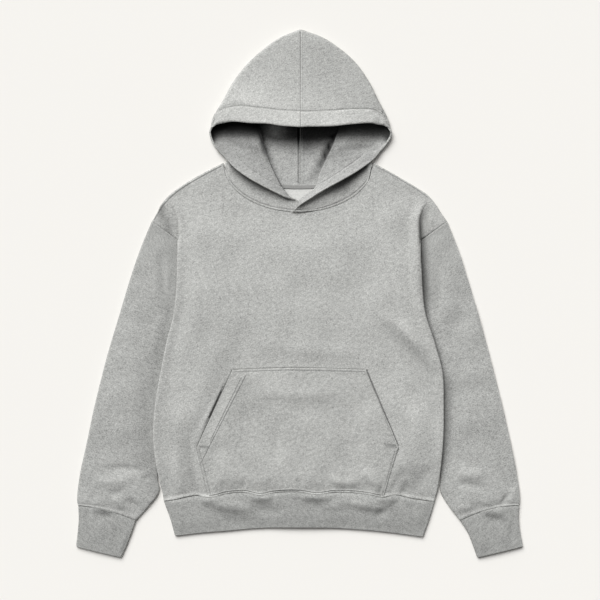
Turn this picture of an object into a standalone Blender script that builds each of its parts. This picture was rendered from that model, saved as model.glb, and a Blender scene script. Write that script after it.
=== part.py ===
# Pullover hoodie in brushed fleece, laid flat on its back with the sleeves down
# and the hood spread open. Run with: blender --background --python part.py
#
# +X is the viewer's right, +Y runs from the hem to the hood, +Z is up and Z = 0
# is the table. Tables and sizes are in millimetres, and the meshes in metres.
# Every piece is a sheet along the middle of its cloth, thickened by Solidify.

import math

import bmesh
import bpy
import numpy as np

MM = 0.001
MERGE = 1e-6                      # joins points shared by two grids of one piece

WALL = 2.2                        # fleece, and the doubled rib
TAPE_WALL = 1.0
SEAM_GAP = 0.3                    # between pieces that are sewn together
REST_GAP = 0.4                    # between layers that lie on each other
FOLD = 1.9                        # radius of a flat fold, at the middle of the wall
LOW = WALL / 2                    # height of the layer on the table
HIGH = LOW + 2 * FOLD             # height of the layer above it
SEAM_Z = LOW + FOLD               # height of the seam between the two

HEM_Y = -395.0                    # waistband seam at the sides
HEM_RISE = 16.0                   # the seam stands higher at the middle
ARMPIT_Y = 101.0                  # where the visible armhole seam meets the side
CREASE_TOP_Y = 185.0              # where the sleeve crease reaches the shoulder
CLOSING = 18.0                    # length in which the side seam closes below it

NECK_X = -2.0                     # the neckline is two half ellipses
NECK_Y = 247.0
NECK_HALF = 143.0
FRONT_NECK = 93.0
BACK_NECK = 45.0
HOOD_X = 2.0                      # the hood's centre seam

LIFT_FLAT = 30.0                  # the body stays raised this far past a sleeve
LIFT_SLOPE = 65.0                 # and comes down to the table over this width

HEATHER = (0.47, 0.47, 0.455, 1.0)
RIB = (0.34, 0.34, 0.325, 1.0)
TAPE = (0.30, 0.30, 0.29, 1.0)


def table(names, *rows):
    return dict(zip(names.split(), np.array(rows, dtype=float).T))


# Side of the body: fold line left and right, how far the body is raised there,
# and how far the sleeve reaches in under it.
SIDES = table(
    "y     left   right  lift  tuck",
    (-395, -258,  257,   0.0,   0),
    (-365, -263,  264,   3.6,   0),
    (-334, -269,  268,   6.6,   0),
    (-279, -276,  273,   6.6,  10),
    (-218, -273,  274,   6.6,  32),
    (-146, -261,  271,   6.6,  52),
    (-91,  -250,  256,   6.6,  58),
    (-39,  -237,  239,   6.6,  55),
    (0,    -233,  234,   6.6,  30),
    (38,   -231,  232,   6.6,   5),
    (60,   -230.6, 231.6, 5.0,  0),
    (82,   -230.4, 231.4, 2.4,  0),
    (101,  -230.2, 231.2, 1.4,  0),
    (140,  -233,  231,   1.2,   0),
    (170,  -244,  241,   0.5,   0),
    (185,  -250,  246,   0.0,   0))

# Shoulder line, from the tip of the shoulder to the neck.
SHOULDERS = table(
    "y    left   right",
    (137, -281,  281),
    (154, -271,  269),
    (170, -263,  259),
    (185, -250,  246),
    (200, -231,  225),
    (215, -208,  200),
    (230, -181,  174),
    (248, -145,  141))

# Sleeve sections from the armhole to the cuff: outer edge, then the inner edge,
# most of it tucked under the body.
SLEEVES = table(
    "outer_y outer_left outer_right inner_y inner_left inner_right",
    (137,    -281,       281,        101,   -231,       232),
    (84,     -303,       302,         45,   -232,       233),
    (28,     -322,       320,         -3,   -207,       208),
    (-42,    -343,       341,        -58,   -183,       186),
    (-119,   -366,       362,       -135,   -207,       214),
    (-210,   -389,       385,       -222,   -242,       243),
    (-290,   -406,       403,       -297,   -267,       265),
    (-340,   -417,       413,       -350,   -270,       268),
    (-375,   -422,       418,       -377,   -267,       268),
    (-394,   -423,       419,       -406,   -288,       285),
    (-403,   -421,       418,       -432,   -311,       305))

# Cuff sections from the seam to the opening.
CUFFS = table(
    "outer_y outer_left outer_right inner_y inner_left inner_right",
    (-403,   -421,       418,       -432,   -311,       305),
    (-428,   -420,       417,       -455,   -319,       320),
    (-455,   -422,       420,       -480,   -329,       330),
    (-481,   -425,       425,       -502,   -339,       338))

# Waistband ends from the seam to the hem.
WAIST = table(
    "down   left   right",
    (0.00, -258,  257),
    (0.06, -258,  257),
    (0.50, -246,  247),
    (1.00, -237,  235))
WAIST_HEIGHT = 66.0
WAIST_DROP = 1.0                  # its ends hang this much lower than the middle

# Pocket outline: the lower sides are sewn, the slanted upper sides are open.
POCKET = table(
    "y     left   right  open",
    (-386, -172,  161,   0.0),
    (-356, -179,  169,   0.0),
    (-325, -187,  178,   0.0),
    (-292, -194,  188,   0.0),
    (-255, -178,  173,   1.0),
    (-219, -161,  157,   1.6),
    (-182, -144,  141,   1.0),
    (-146, -127,  126,   0.0))

# Hood, one row for each line from the centre seam at the back out to the face
# edge. back: on the centre seam. turn, fold: the two turns of the side pleat.
# side: widest point of the crown. edge: face edge, with its height.
# turned: how far the outer turn of the pleat goes round, in degrees, and over:
# how far the inner one lays the flap back. curl: radius of the roll at the side,
# and round: how far it goes round.
HOOD_COLUMNS = """back turn_x turn_y turned fold_x fold_y side_x side_y edge_x edge_y edge_z
                  over curl round"""
HOOD_LEFT = table(
    HOOD_COLUMNS,
    (202, -143, 247, 180,  -19, 155,    0,   0,   -3, 154,  4.9,   0, 0.0,   0),
    (215, -134, 257, 180,  -18, 175,    0,   0,   -6, 172,  5.4,   1, 0.0,   0),
    (223, -126, 262, 180,  -26, 190,    0,   0,  -29, 183, 13.0, 120, 0.0,   0),
    (231, -121, 267, 180,  -32, 199,    0,   0,  -48, 192, 15.0, 180, 0.0,   0),
    (247, -113, 277, 180,  -44, 221,    0,   0,  -88, 213, 17.0, 180, 0.0,   0),
    (265, -107, 287, 180,  -55, 244,    0,   0, -121, 236, 15.0, 180, 0.0,   0),
    (282, -104, 298, 180,  -64, 268,    0,   0, -142, 258, 11.0, 180, 0.0,   0),
    (299, -102, 309, 180,  -71, 293, -158, 281, -161, 280,  8.5, 180, 2.5,  60),
    (318, -101, 322, 180,  -78, 316, -170, 306, -170, 306, 11.0, 180, 3.0,  90),
    (338, -100, 336, 180,  -85, 334, -167, 323, -158, 320, 15.0, 180, 5.0, 180),
    (354,  -98, 347,  90,  -98, 347, -164, 334, -144, 323, 17.5,  90, 5.5, 180),
    (372,    0,   0,   0,    0,   0, -158, 346, -126, 325, 20.0,   0, 6.0, 180),
    (391,    0,   0,   0,    0,   0, -146, 366,  -94, 323, 24.0,   0, 6.5, 180),
    (414,    0,   0,   0,    0,   0, -128, 399,  -62, 320, 27.0,   0, 6.5, 180),
    (439,    0,   0,   0,    0,   0, -100, 435,  -33, 316, 28.0,   0, 6.0, 180),
    (462,    0,   0,   0,    0,   0,  -71, 462,  -16, 315, 28.5,   0, 5.5, 180),
    (477,    0,   0,   0,    0,   0,  -37, 486,   -5, 314, 29.0,   0, 5.0, 180),
    (486,    0,   0,   0,    0,   0,    2, 502,    2, 314, 29.0,   0, 4.5, 180))
HOOD_RIGHT = table(
    HOOD_COLUMNS,
    (202,  140, 247, 180,    4, 155,    0,   0,  -14, 155,  8.2,   0, 0.0,   0),
    (215,  132, 257, 180,    1, 171,    0,   0,    7, 169, 15.5, 130, 0.0,   0),
    (223,  125, 262, 180,   12, 185,    0,   0,   22, 180, 16.0, 160, 0.0,   0),
    (231,  119, 267, 180,   26, 197,    0,   0,   39, 191, 17.0, 180, 0.0,   0),
    (247,  112, 277, 180,   34, 221,    0,   0,   79, 213, 19.0, 180, 0.0,   0),
    (265,  106, 287, 180,   44, 247,    0,   0,  109, 231, 18.0, 180, 0.0,   0),
    (282,  103, 298, 180,   54, 270,    0,   0,  135, 250, 14.0, 180, 0.0,   0),
    (299,  101, 309, 180,   63, 291,  152, 272,  155, 272, 10.0, 180, 2.5,  60),
    (318,  100, 322, 180,   72, 315,  174, 304,  174, 304, 12.0, 180, 3.0,  90),
    (338,   99, 336, 180,   81, 334,  170, 323,  160, 319, 15.0, 180, 5.0, 180),
    (354,   97, 347,  90,   97, 347,  167, 334,  149, 320, 17.5,  90, 5.5, 180),
    (372,    0,   0,   0,    0,   0,  161, 346,  134, 322, 20.0,   0, 6.0, 180),
    (391,    0,   0,   0,    0,   0,  150, 366,  100, 321, 24.0,   0, 6.5, 180),
    (414,    0,   0,   0,    0,   0,  134, 399,   67, 318, 27.0,   0, 6.5, 180),
    (439,    0,   0,   0,    0,   0,  106, 439,   41, 316, 28.0,   0, 6.0, 180),
    (462,    0,   0,   0,    0,   0,   81, 462,   20, 315, 28.5,   0, 5.5, 180),
    (477,    0,   0,   0,    0,   0,   45, 486,   10, 314, 29.0,   0, 5.0, 180),
    (486,    0,   0,   0,    0,   0,    2, 502,    2, 314, 29.0,   0, 4.5, 180))


def smooth(keys, values, at):
    # Cubic reading of a table column, with the slope of its neighbours.
    if keys[0] > keys[-1]:
        keys, values = keys[::-1], values[::-1]
    slopes = np.gradient(values, keys)
    low = np.clip(np.searchsorted(keys, at) - 1, 0, len(keys) - 2)
    span = keys[low + 1] - keys[low]
    t = np.clip((at - keys[low]) / span, 0.0, 1.0)
    start = (1 + 2 * t) * (1 - t) ** 2 * values[low] + t * (1 - t) ** 2 * span * slopes[low]
    end = t * t * (3 - 2 * t) * values[low + 1] + t * t * (t - 1) * span * slopes[low + 1]
    return start + end


def ease(value):
    # 0 to 1 with flat ends.
    t = np.clip(value, 0.0, 1.0)
    return t * t * (3 - 2 * t)


def mix(a, b, t):
    return a + (b - a) * t


# ---- Scene helpers ---------------------------------------------------------

def clear_scene():
    for item in list(bpy.data.objects):
        bpy.data.objects.remove(item, do_unlink=True)


def cloth_material(name, colour):
    material = bpy.data.materials.new(name)
    material.use_nodes = True
    shader = material.node_tree.nodes["Principled BSDF"]
    shader.inputs["Base Color"].default_value = colour
    shader.inputs["Roughness"].default_value = 0.95
    shader.inputs["Metallic"].default_value = 0.0
    return material


def add_cloth(name, grids, material, wall=WALL, ring=False):
    # A grid is an array of rows of points. A ring grid closes along its rows.
    bm = bmesh.new()
    for grid in grids:
        rows, columns = grid.shape[:2]
        verts = [[bm.verts.new(point * MM) for point in row] for row in grid]
        for r in range(rows - 1):
            for c in range(columns if ring else columns - 1):
                n = (c + 1) % columns
                bm.faces.new((verts[r][c], verts[r][n], verts[r + 1][n], verts[r + 1][c]))
    bmesh.ops.remove_doubles(bm, verts=bm.verts, dist=MERGE)
    bmesh.ops.recalc_face_normals(bm, faces=bm.faces)
    mesh = bpy.data.meshes.new(name)
    bm.to_mesh(mesh)
    bm.free()
    mesh.polygons.foreach_set("use_smooth", [True] * len(mesh.polygons))
    mesh.materials.append(material)
    item = bpy.data.objects.new(name, mesh)
    bpy.context.collection.objects.link(item)
    thicken = item.modifiers.new("wall", "SOLIDIFY")
    thicken.thickness = wall * MM
    thicken.offset = 0.0
    thicken.use_even_offset = True
    thicken.use_quality_normals = True
    return item


# ---- Body ------------------------------------------------------------------

# The two panels close up to the seam gap over the last few millimetres.
EDGE_STEPS = np.array([0.0, 2.0, 6.0])            # in from the edge
PINCH = (2 * FOLD - WALL - SEAM_GAP) / 2 * np.array([1.0, 0.5, 0.0])
CREASE_DROPS = np.array([1.0, 0.7, 0.3])          # along the crease, as shares of the lift
SIDE_STEPS = np.array([10, 26, 45, 66, 88])       # columns in from the edge
NECK_ANGLES = np.radians([0, 12, 25, 39, 54, 72, 90, 108, 126, 141, 155, 168, 180])
BODY_ROWS = np.array([0.0, 0.06, 0.14, 0.26, 0.39, 0.52, 0.65, 0.76])


def side_at(name, y):
    return smooth(SIDES["y"], SIDES[name], y)


def neck_line(angle, depth):
    # Half ellipse, from the left neck corner to the right one.
    x = NECK_X - NECK_HALF * np.cos(angle)
    y = NECK_Y - depth * np.sin(angle)
    return x, y


def top_columns(depth):
    # Where each column of a body panel meets the shoulder line or the neckline.
    left_end = side_at("left", CREASE_TOP_Y)
    right_end = side_at("right", CREASE_TOP_Y)
    steps = np.concatenate([EDGE_STEPS, SIDE_STEPS])
    left = left_end + steps
    right = (right_end - steps)[::-1]
    neck_x, neck_y = neck_line(NECK_ANGLES, depth)
    left_y = smooth(SHOULDERS["left"], SHOULDERS["y"], left)
    right_y = smooth(SHOULDERS["right"], SHOULDERS["y"], right)
    x = np.concatenate([left, neck_x, right])
    y = np.concatenate([left_y, neck_y, right_y])
    return x, y


def hem_line(x):
    # Height of the waistband seam.
    return HEM_Y + HEM_RISE * (1 - (x / SIDES["left"][0]) ** 2)


def lift_at(x, y):
    # How far the body is raised over the sleeves tucked under its sides.
    lift = side_at("lift", y)
    tuck = side_at("tuck", y)
    left = side_at("left", y) + tuck + LIFT_FLAT + LIFT_SLOPE - x
    right = x - side_at("right", y) + tuck + LIFT_FLAT + LIFT_SLOPE
    return lift * ease(np.maximum(left, right) / LIFT_SLOPE)


def body_levels():
    # Share of the height from the hem, and a distance down from there.
    height = CREASE_TOP_Y - HEM_Y
    closed = (ARMPIT_Y - CLOSING - HEM_Y) / height
    armpit = (ARMPIT_Y - HEM_Y) / height
    levels = [(v, 0.0) for v in (*BODY_ROWS, closed)]
    levels += [(mix(armpit, 1.0, t), 0.0) for t in (0.0, 0.35, 0.7)]
    levels += [(1.0, down) for down in EDGE_STEPS[::-1]]
    return levels


def body_grids(front):
    # Main grid of a body panel and the fans that reach out to the armholes.
    depth = FRONT_NECK if front else BACK_NECK
    side = 1 if front else -1
    flat = HIGH if front else LOW
    top_x, top_y = top_columns(depth)
    outer = len(EDGE_STEPS) + len(SIDE_STEPS)
    inside = (top_x[:outer] - top_x[0]) / (top_x[outer] - top_x[0])
    near = np.zeros(len(top_x))
    near[:outer] = 1 - inside
    shoulder = (near > 0) | (near[::-1] > 0)
    levels = body_levels()
    closing = len(BODY_ROWS)
    first_fan = closing + 1

    grid = np.zeros((len(levels), len(top_x), 3))
    for r, (v, down) in enumerate(levels):
        y_side = mix(HEM_Y, CREASE_TOP_Y, v) - down
        x = top_x + near * (side_at("left", y_side) - top_x[0])
        x += near[::-1] * (side_at("right", y_side) - top_x[-1])
        y = mix(hem_line(x) + SEAM_GAP / 2, top_y, v) - down
        lift = lift_at(x, y_side)
        if not front:
            lift = lift * ease((ARMPIT_Y - y_side) / CLOSING)
        z = flat + lift
        for i, pinch in enumerate(PINCH):
            for c in (i, -1 - i):
                if r < closing:
                    z[c] -= side * pinch
                elif front and r > closing:
                    z[c] = flat + side_at("lift", y_side) * (1 - CREASE_DROPS[i])
        from_top = len(levels) - 1 - r
        if from_top < len(PINCH):
            z -= side * PINCH[from_top] * shoulder
        grid[r] = np.stack([x, y, z], axis=1)
    fans = [armhole_fan(grid[first_fan:], where) for where in ("left", "right")]
    return [grid] + fans


def armhole_fan(rows, where):
    # Fills the corner between the sleeve crease, the shoulder and the armhole.
    column = 0 if where == "left" else -1
    crease = rows[:, column]
    start = crease[0]
    inward = 1.0 if where == "left" else -1.0
    corner = np.array([SLEEVES["inner_" + where][0], SLEEVES["inner_y"][0]])
    tip = np.array([SHOULDERS[where][0], SHOULDERS["y"][0]])
    along = (corner - tip) / np.linalg.norm(corner - tip)
    across = np.array([-along[1], along[0]]) * inward
    tip = np.append(tip + across * SEAM_GAP, 0.0)
    reach = (crease[:, 1] - crease[0, 1]) / (crease[-1, 1] - crease[0, 1])
    tip[2] = crease[-1, 2]
    steps = np.linspace(0.0, 1.0, 4)
    outline_y = mix(crease[-1, 1], tip[1], steps)
    outline_x = smooth(SHOULDERS["y"], SHOULDERS[where], outline_y)
    chord_x = mix(crease[-1, 0], tip[0], steps)
    bulge = outline_x - chord_x
    bulge[[0, -1]] = 0.0
    fan = np.zeros((len(rows), len(steps), 3))
    for r, amount in enumerate(reach):
        seam = mix(start, tip, amount)
        for c, t in enumerate(steps):
            fan[r, c] = mix(crease[r], seam, t)
            fan[r, c, 0] += bulge[c] * amount ** 2
            fan[r, c, 2] = crease[r, 2]
    return fan


# ---- Sleeves, cuffs and waistband ------------------------------------------

BEVEL = FOLD * (2 - math.sqrt(2)) # a tube's edge turns by 45, 90 and 45 degrees


def flat_loop(outer, inner, top_points, bottom_points):
    # Section of a flattened tube, from its outer edge over the top and back.
    width = np.linalg.norm(inner - outer)
    direction = (inner - outer) / width
    start = WALL / 2
    end = width - WALL / 2
    corner = FOLD - BEVEL
    places = [(start, corner)]
    places += [(s, FOLD) for s in np.linspace(start + BEVEL, end - BEVEL, top_points)]
    places += [(end, corner), (end, -corner)]
    places += [(s, -FOLD) for s in np.linspace(end - BEVEL, start + BEVEL, bottom_points)]
    places += [(start, -corner)]
    along = np.array(places)
    plan = outer + direction * along[:, :1]
    return np.column_stack([plan, SEAM_Z + along[:, 1]])


TUBE_END = 3.0                    # a tube runs straight for this far at its seams


def tube_grid(sections, side, top_points, bottom_points, seams):
    # Flattened tube through a table of sections. At a seam it ends short of the
    # section by half the gap and keeps its width for a little way.
    outer = np.stack([sections["outer_" + side], sections["outer_y"]], axis=1)
    inner = np.stack([sections["inner_" + side], sections["inner_y"]], axis=1)
    pairs = list(zip(outer, inner))
    for place, beyond in ((0, 1), (-1, -2)):
        if place not in seams:
            continue
        a, b = pairs[place]
        across = np.array([a[1] - b[1], b[0] - a[0]]) / np.linalg.norm(b - a)
        if np.dot(pairs[beyond][0] - a, across) < 0:
            across = -across
        ends = [(a + across * step, b + across * step) for step in (SEAM_GAP / 2, TUBE_END)]
        pairs[place:place + 1 or None] = ends if place == 0 else ends[::-1]
    return np.array([flat_loop(a, b, top_points, bottom_points) for a, b in pairs])


def waistband_grid():
    rows = []
    for down, left, right in zip(WAIST["down"], WAIST["left"], WAIST["right"]):
        loop = flat_loop(np.array([left, 0.0]), np.array([right, 0.0]), 13, 7)
        sag = WAIST_DROP * (2 * (loop[:, 0] - left) / (right - left) - 1) ** 2 * down
        loop[:, 1] = hem_line(loop[:, 0]) - SEAM_GAP / 2 - WAIST_HEIGHT * down - sag
        rows.append(loop)
    return np.array(rows)


# ---- Pocket and neck tape --------------------------------------------------

POCKET_GAP = 0.7                  # more than the rest, as it lies on the raised sides


def pocket_grid():
    # Lies on the front panel's own surface, moved out by one wall.
    columns = np.linspace(0.0, 1.0, 13)
    rows = []
    for y, left, right, opening in zip(*(POCKET[name] for name in ("y", "left", "right", "open"))):
        x = mix(left, right, columns)
        height = np.full_like(x, y)
        if y == POCKET["y"][0]:
            height = hem_line(x) + 1.0
        lip = opening * np.abs(2 * columns - 1) ** 8
        z = HIGH + lift_at(x, height) + WALL + POCKET_GAP + lip
        rows.append(np.stack([x, height, z], axis=1))
    return np.array(rows)


TAPE_SPREAD = math.radians(26)    # reach of the tape to each side of the middle
TAPE_WIDTH = 8.0


def tape_grid():
    rows = []
    for offset in (-TAPE_WIDTH / 2, TAPE_WIDTH / 2):
        angles = np.linspace(math.pi / 2 - TAPE_SPREAD, math.pi / 2 + TAPE_SPREAD, 9)
        x, y = neck_line(angles, BACK_NECK)
        z = np.full_like(x, WALL + REST_GAP + TAPE_WALL / 2)
        rows.append(np.stack([x, y + offset, z], axis=1))
    return np.array(rows)


# ---- Hood ------------------------------------------------------------------

PLEAT_RADIUS = 2.2                # of the inner fold, at the middle of the wall
BACK_STEPS = np.array([0.0, 0.5])                 # from the centre seam to the turn
UNDER_STEPS = np.array([0.2, 0.4, 0.6, 0.8])      # from the turn to the inner fold
OUT_STEPS = np.array([0.4, 0.8])                  # from the inner fold out to the side
NO_PLEAT_STEPS = np.append([0.0, 0.28], np.linspace(0.56, 0.86, 14))
OVER_STEPS = np.array([0.3, 0.65, 1.0])           # from the side in to the face edge
LIP = 1.6                                         # spacing of the columns at the face edge
TURN_POINTS = 5
ROLL_POINTS = 4
CROWN_DOME = 3.0
CROSSING = np.array([3.0, 3.0, 2.0])              # the right front lies over the left
CORNER_INSET = 3.0                                # the hood's turn at the neck corner
FRONT_END = 17.0                                  # the front fold starts this far from its end
PEAK_GAP = 0.7                                    # more room between the panels there


def line_normals(x, y, outward):
    # Unit normals of a line in the plan, on the side that outward names.
    tangent = np.stack([np.gradient(x), np.gradient(y)], axis=1)
    normals = np.stack([tangent[:, 1], -tangent[:, 0]], axis=1)
    normals /= np.linalg.norm(normals, axis=1)[:, None]
    flip = np.sign(normals[:, 0] * outward)
    flip[flip == 0] = 1.0
    return normals * flip[:, None]


def turn(at, normal, low, radius, degrees, count, first=0.0):
    # Bends up from height low. Its length is that of half a circle, and a smaller
    # angle opens it to a wider arc. It reaches as far as the point it is given.
    length = math.pi * radius
    angle = math.radians(max(degrees, 1))
    wide = length / angle
    angles = math.radians(first) + np.linspace(0.0, angle, count)
    ahead = wide * np.sin(angles)
    ahead -= ahead.max()
    z = low + wide * (math.cos(angles[0]) - np.cos(angles))
    return np.column_stack([at[0] + normal[0] * ahead, at[1] + normal[1] * ahead, z])


def run(start, end, steps):
    return start + (end - start) * steps[:, None]


def neck_point(angle, depth, inset):
    # On the straight stretches between the points of the body's own neckline.
    line_x, line_y = neck_line(NECK_ANGLES, depth - SEAM_GAP)
    x = np.interp(angle, NECK_ANGLES, line_x)
    y = np.interp(angle, NECK_ANGLES, line_y)
    return NECK_X + (x - NECK_X) * (1 - inset / NECK_HALF), y


def neck_row(side, line, count):
    # The hood's lowest row: the back neckline, the corner and the front neckline.
    back = np.radians([90, 54])
    under = NECK_ANGLES[2:6]
    ends = np.array([line["edge_x"] - side * FRONT_END, line["edge_x"]])
    start, end = np.arccos(side * (NECK_X - ends) / NECK_HALF)
    rest = np.linspace(start, end, count - len(back) - TURN_POINTS - len(under))
    corner_x = NECK_X - side * (NECK_HALF - CORNER_INSET)
    corner = turn((corner_x, NECK_Y - 3), (-side, 0.0), LOW, FOLD, 180, TURN_POINTS)
    corner[:, 1] += np.array([2.0, 1.0, 0.0, -2.0, -5.0])
    parts = []
    for angles, depth, z in ((back, BACK_NECK, LOW), (np.append(under, rest), FRONT_NECK, HIGH)):
        turned = angles if side > 0 else math.pi - angles
        x, y = neck_point(turned, depth, SEAM_GAP)
        parts.append(np.column_stack([x, y, np.full(len(x), z)]))
    parts[0][0, 0] = HOOD_X - side * SEAM_GAP / 2
    parts[1][-len(rest):, 2] = line["edge_z"]
    return np.vstack([parts[0], corner, parts[1]])


def hood_grid(table_rows, side):
    # side is 1 for the left panel and -1 for the right one.
    pleated = np.arange(len(table_rows["over"])) <= np.flatnonzero(table_rows["over"]).max()
    turns = line_normals(table_rows["turn_x"][pleated], table_rows["turn_y"][pleated], -side)
    folds = line_normals(table_rows["fold_x"][pleated], table_rows["fold_y"][pleated], side)
    rolled = table_rows["curl"] > 0
    sides = np.zeros((len(rolled), 2))
    sides[rolled] = line_normals(table_rows["side_x"][rolled], table_rows["side_y"][rolled], -side)
    sides[-1] = (0.0, 1.0)
    last = len(rolled) - 1
    flap_count = len(OUT_STEPS) + ROLL_POINTS + len(OVER_STEPS)
    base_count = len(BACK_STEPS) + len(UNDER_STEPS) + 2 * TURN_POINTS

    lines = []
    for r in range(len(rolled)):
        line = {name: values[r] for name, values in table_rows.items()}
        if r == 0:
            lines.append(neck_row(side, line, base_count + flap_count))
            continue
        centre = HOOD_X - side * SEAM_GAP / 2
        back = np.array([centre, line["back"], LOW])
        edge = np.array([line["edge_x"], line["edge_y"], line["edge_z"]])
        point = np.array([line["side_x"], line["side_y"]])
        if r == last:
            edge[0] = centre
            point[0] = centre - side * PEAK_GAP
        rim = turn(point - sides[r] * WALL / 2, sides[r], LOW, line["curl"] or 1.0,
                   line["round"], ROLL_POINTS)
        if line["over"] > 0:
            raised = CROSSING[r] if side < 0 and r < len(CROSSING) else 0.0
            raised += PLEAT_RADIUS * (1 + math.cos(math.radians(line["turned"])))
            share = line["turned"] / 180
            outer = turn((line["turn_x"], line["turn_y"]), turns[r], LOW, FOLD * share,
                         line["turned"], TURN_POINTS)
            inner = turn((line["fold_x"], line["fold_y"]), folds[r], HIGH + raised,
                         PLEAT_RADIUS * share, line["over"], TURN_POINTS, 180 - line["turned"])
            base = np.vstack([run(back, outer[0], BACK_STEPS), outer,
                              run(outer[-1], inner[0], UNDER_STEPS), inner])
        else:
            base = run(back, rim[0], NO_PLEAT_STEPS)
        if rolled[r]:
            out = run(base[-1], rim[0], OUT_STEPS)
            out[:, 2] = mix(base[-1, 2], rim[0, 2], ease((OUT_STEPS - 0.2) / 0.7))
            over = run(rim[-1], edge, OVER_STEPS)
            over[:, 2] += CROWN_DOME * np.sin(math.pi * OVER_STEPS) * (line["round"] == 180)
            flap = np.vstack([out, rim, over])
        else:
            length = np.linalg.norm(edge - base[-1])
            lip = min(LIP, length / flap_count)
            tail = 1 - lip / length * np.arange(flap_count - 3, -1, -1)
            steps = np.concatenate([tail[0] * np.array([0.36, 0.7]), tail])
            flap = run(base[-1], edge, steps)
        lines.append(np.vstack([base, flap]))
    return np.array(lines)


# ---- Build -----------------------------------------------------------------

def build():
    clear_scene()
    fleece = cloth_material("heather_fleece", HEATHER)
    rib = cloth_material("rib_knit", RIB)
    tape = cloth_material("neck_tape_twill", TAPE)

    add_cloth("front_body", body_grids(front=True), fleece)
    add_cloth("back_body", body_grids(front=False), fleece)
    add_cloth("pocket", [pocket_grid()], fleece)
    add_cloth("waistband", [waistband_grid()], rib, ring=True)
    for side in ("left", "right"):
        sleeve = tube_grid(SLEEVES, side, 5, 3, (0, -1))
        add_cloth("sleeve_" + side, [sleeve], fleece, ring=True)
        cuff = tube_grid(CUFFS, side, 5, 3, (0,))
        add_cloth("cuff_" + side, [cuff], rib, ring=True)
    add_cloth("hood_left", [hood_grid(HOOD_LEFT, 1)], fleece)
    add_cloth("hood_right", [hood_grid(HOOD_RIGHT, -1)], fleece)
    add_cloth("neck_tape", [tape_grid()], tape, wall=TAPE_WALL)


build()
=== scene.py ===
# Pullover hoodie in heather fleece, laid flat: cloth shells, seams, stitches
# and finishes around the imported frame. Sizes are in millimetres, and each mesh
# is written in metres.
import math

import bpy
import numpy as np
from mathutils.bvhtree import BVHTree
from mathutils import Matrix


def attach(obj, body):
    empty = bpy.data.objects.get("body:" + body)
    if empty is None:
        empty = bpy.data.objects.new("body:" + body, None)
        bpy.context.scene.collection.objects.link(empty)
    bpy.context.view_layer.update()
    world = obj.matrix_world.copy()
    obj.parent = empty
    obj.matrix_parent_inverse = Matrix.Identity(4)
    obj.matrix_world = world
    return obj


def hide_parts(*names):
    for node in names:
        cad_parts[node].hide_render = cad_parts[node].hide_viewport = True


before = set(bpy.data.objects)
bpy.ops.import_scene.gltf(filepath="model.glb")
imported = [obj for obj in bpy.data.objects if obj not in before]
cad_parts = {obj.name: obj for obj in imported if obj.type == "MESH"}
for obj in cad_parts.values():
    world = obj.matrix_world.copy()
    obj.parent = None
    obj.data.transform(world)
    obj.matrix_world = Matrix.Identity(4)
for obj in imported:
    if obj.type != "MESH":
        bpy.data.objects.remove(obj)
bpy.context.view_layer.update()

print("frame loaded:", len(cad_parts), "nodes")
bpy.ops.object.select_all(action="DESELECT")

mm = 0.001
wall = 2.2                    # thickness of the fleece
seamGap = 0.3                 # left open between pieces that are sewn together
rimReach = 0.5                # how far a rounded rim stands out from the cloth's edge
inset = seamGap / 2 + rimReach
seamReach = rimReach + 0.05   # the same at the hood's close centre seam
low = wall / 2                # middle of the layer on the table
fold = 1.9                    # radius of a flat fold
high = low + 2 * fold         # middle of the layer above it
seamZ = low + fold            # between the two
hemLevel = -395.0             # the body's lower corners
armpitY = 101.0
creaseTopY = 185.0            # where the sleeve's crease meets the shoulder
neckX, neckY, neckHalf = -2.0, 247.0, 143.0
frontNeck, backNeck = 93.0, 45.0
neckFall = 105.0              # turns a share of the neckline's oval into millimetres
hoodX = 2.0                   # the hood's centre seam
# Where each piece is cut from the roll, so that no two show the same flecks.
cutFrom = {"pocket": 700, "sleeve": 1500, "cuff": 2300, "band": 3100, "hoodLeft": 4000,
           "hoodRight": 5000, "tape": 6000}


def table(names, *rows):
    return dict(zip(names.split(), np.array(rows, dtype=float).T))


def smooth(keys, values, at):  # cubic reading of a table column
    if keys[0] > keys[-1]:
        keys, values = keys[::-1], values[::-1]
    slopes = np.gradient(values, keys)
    first = np.clip(np.searchsorted(keys, at) - 1, 0, len(keys) - 2)
    span = keys[first + 1] - keys[first]
    t = np.clip((at - keys[first]) / span, 0.0, 1.0)
    start = (1 + 2 * t) * (1 - t) ** 2 * values[first] + t * (1 - t) ** 2 * span * slopes[first]
    end = t * t * (3 - 2 * t) * values[first + 1] + t * t * (t - 1) * span * slopes[first + 1]
    return start + end


def ease(value):
    t = np.clip(value, 0.0, 1.0)
    return t * t * (3 - 2 * t)


def mix(a, b, t):
    return a + (b - a) * t


def bump(distance, width):
    return np.exp(-(distance / width) ** 2)


def spot(x, y, atX, atY, across, down, height):  # one soft oval
    return height * bump(np.hypot((x - atX) / across, (y - atY) / down), 1)


def seamRoll(away, ridge, dip):  # the cloth stands up beside a seam and dips behind
    return ridge * bump(away - 2.2, 1.9) - dip * bump(away - 7, 3)


def spaced(total, first, step, last):  # places from 0 to total, finer at both ends
    start, end = [first], [last]
    while start[-1] * 1.4 < step:
        start.append(start[-1] * 1.4)
    while end[-1] * 1.4 < step:
        end.append(end[-1] * 1.4)
    rest = total - sum(start) - sum(end)
    count = max(1, math.ceil(rest / step))
    sizes = start + [rest / count] * count + end[::-1]
    return np.concatenate([[0.0], np.cumsum(sizes)])


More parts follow.
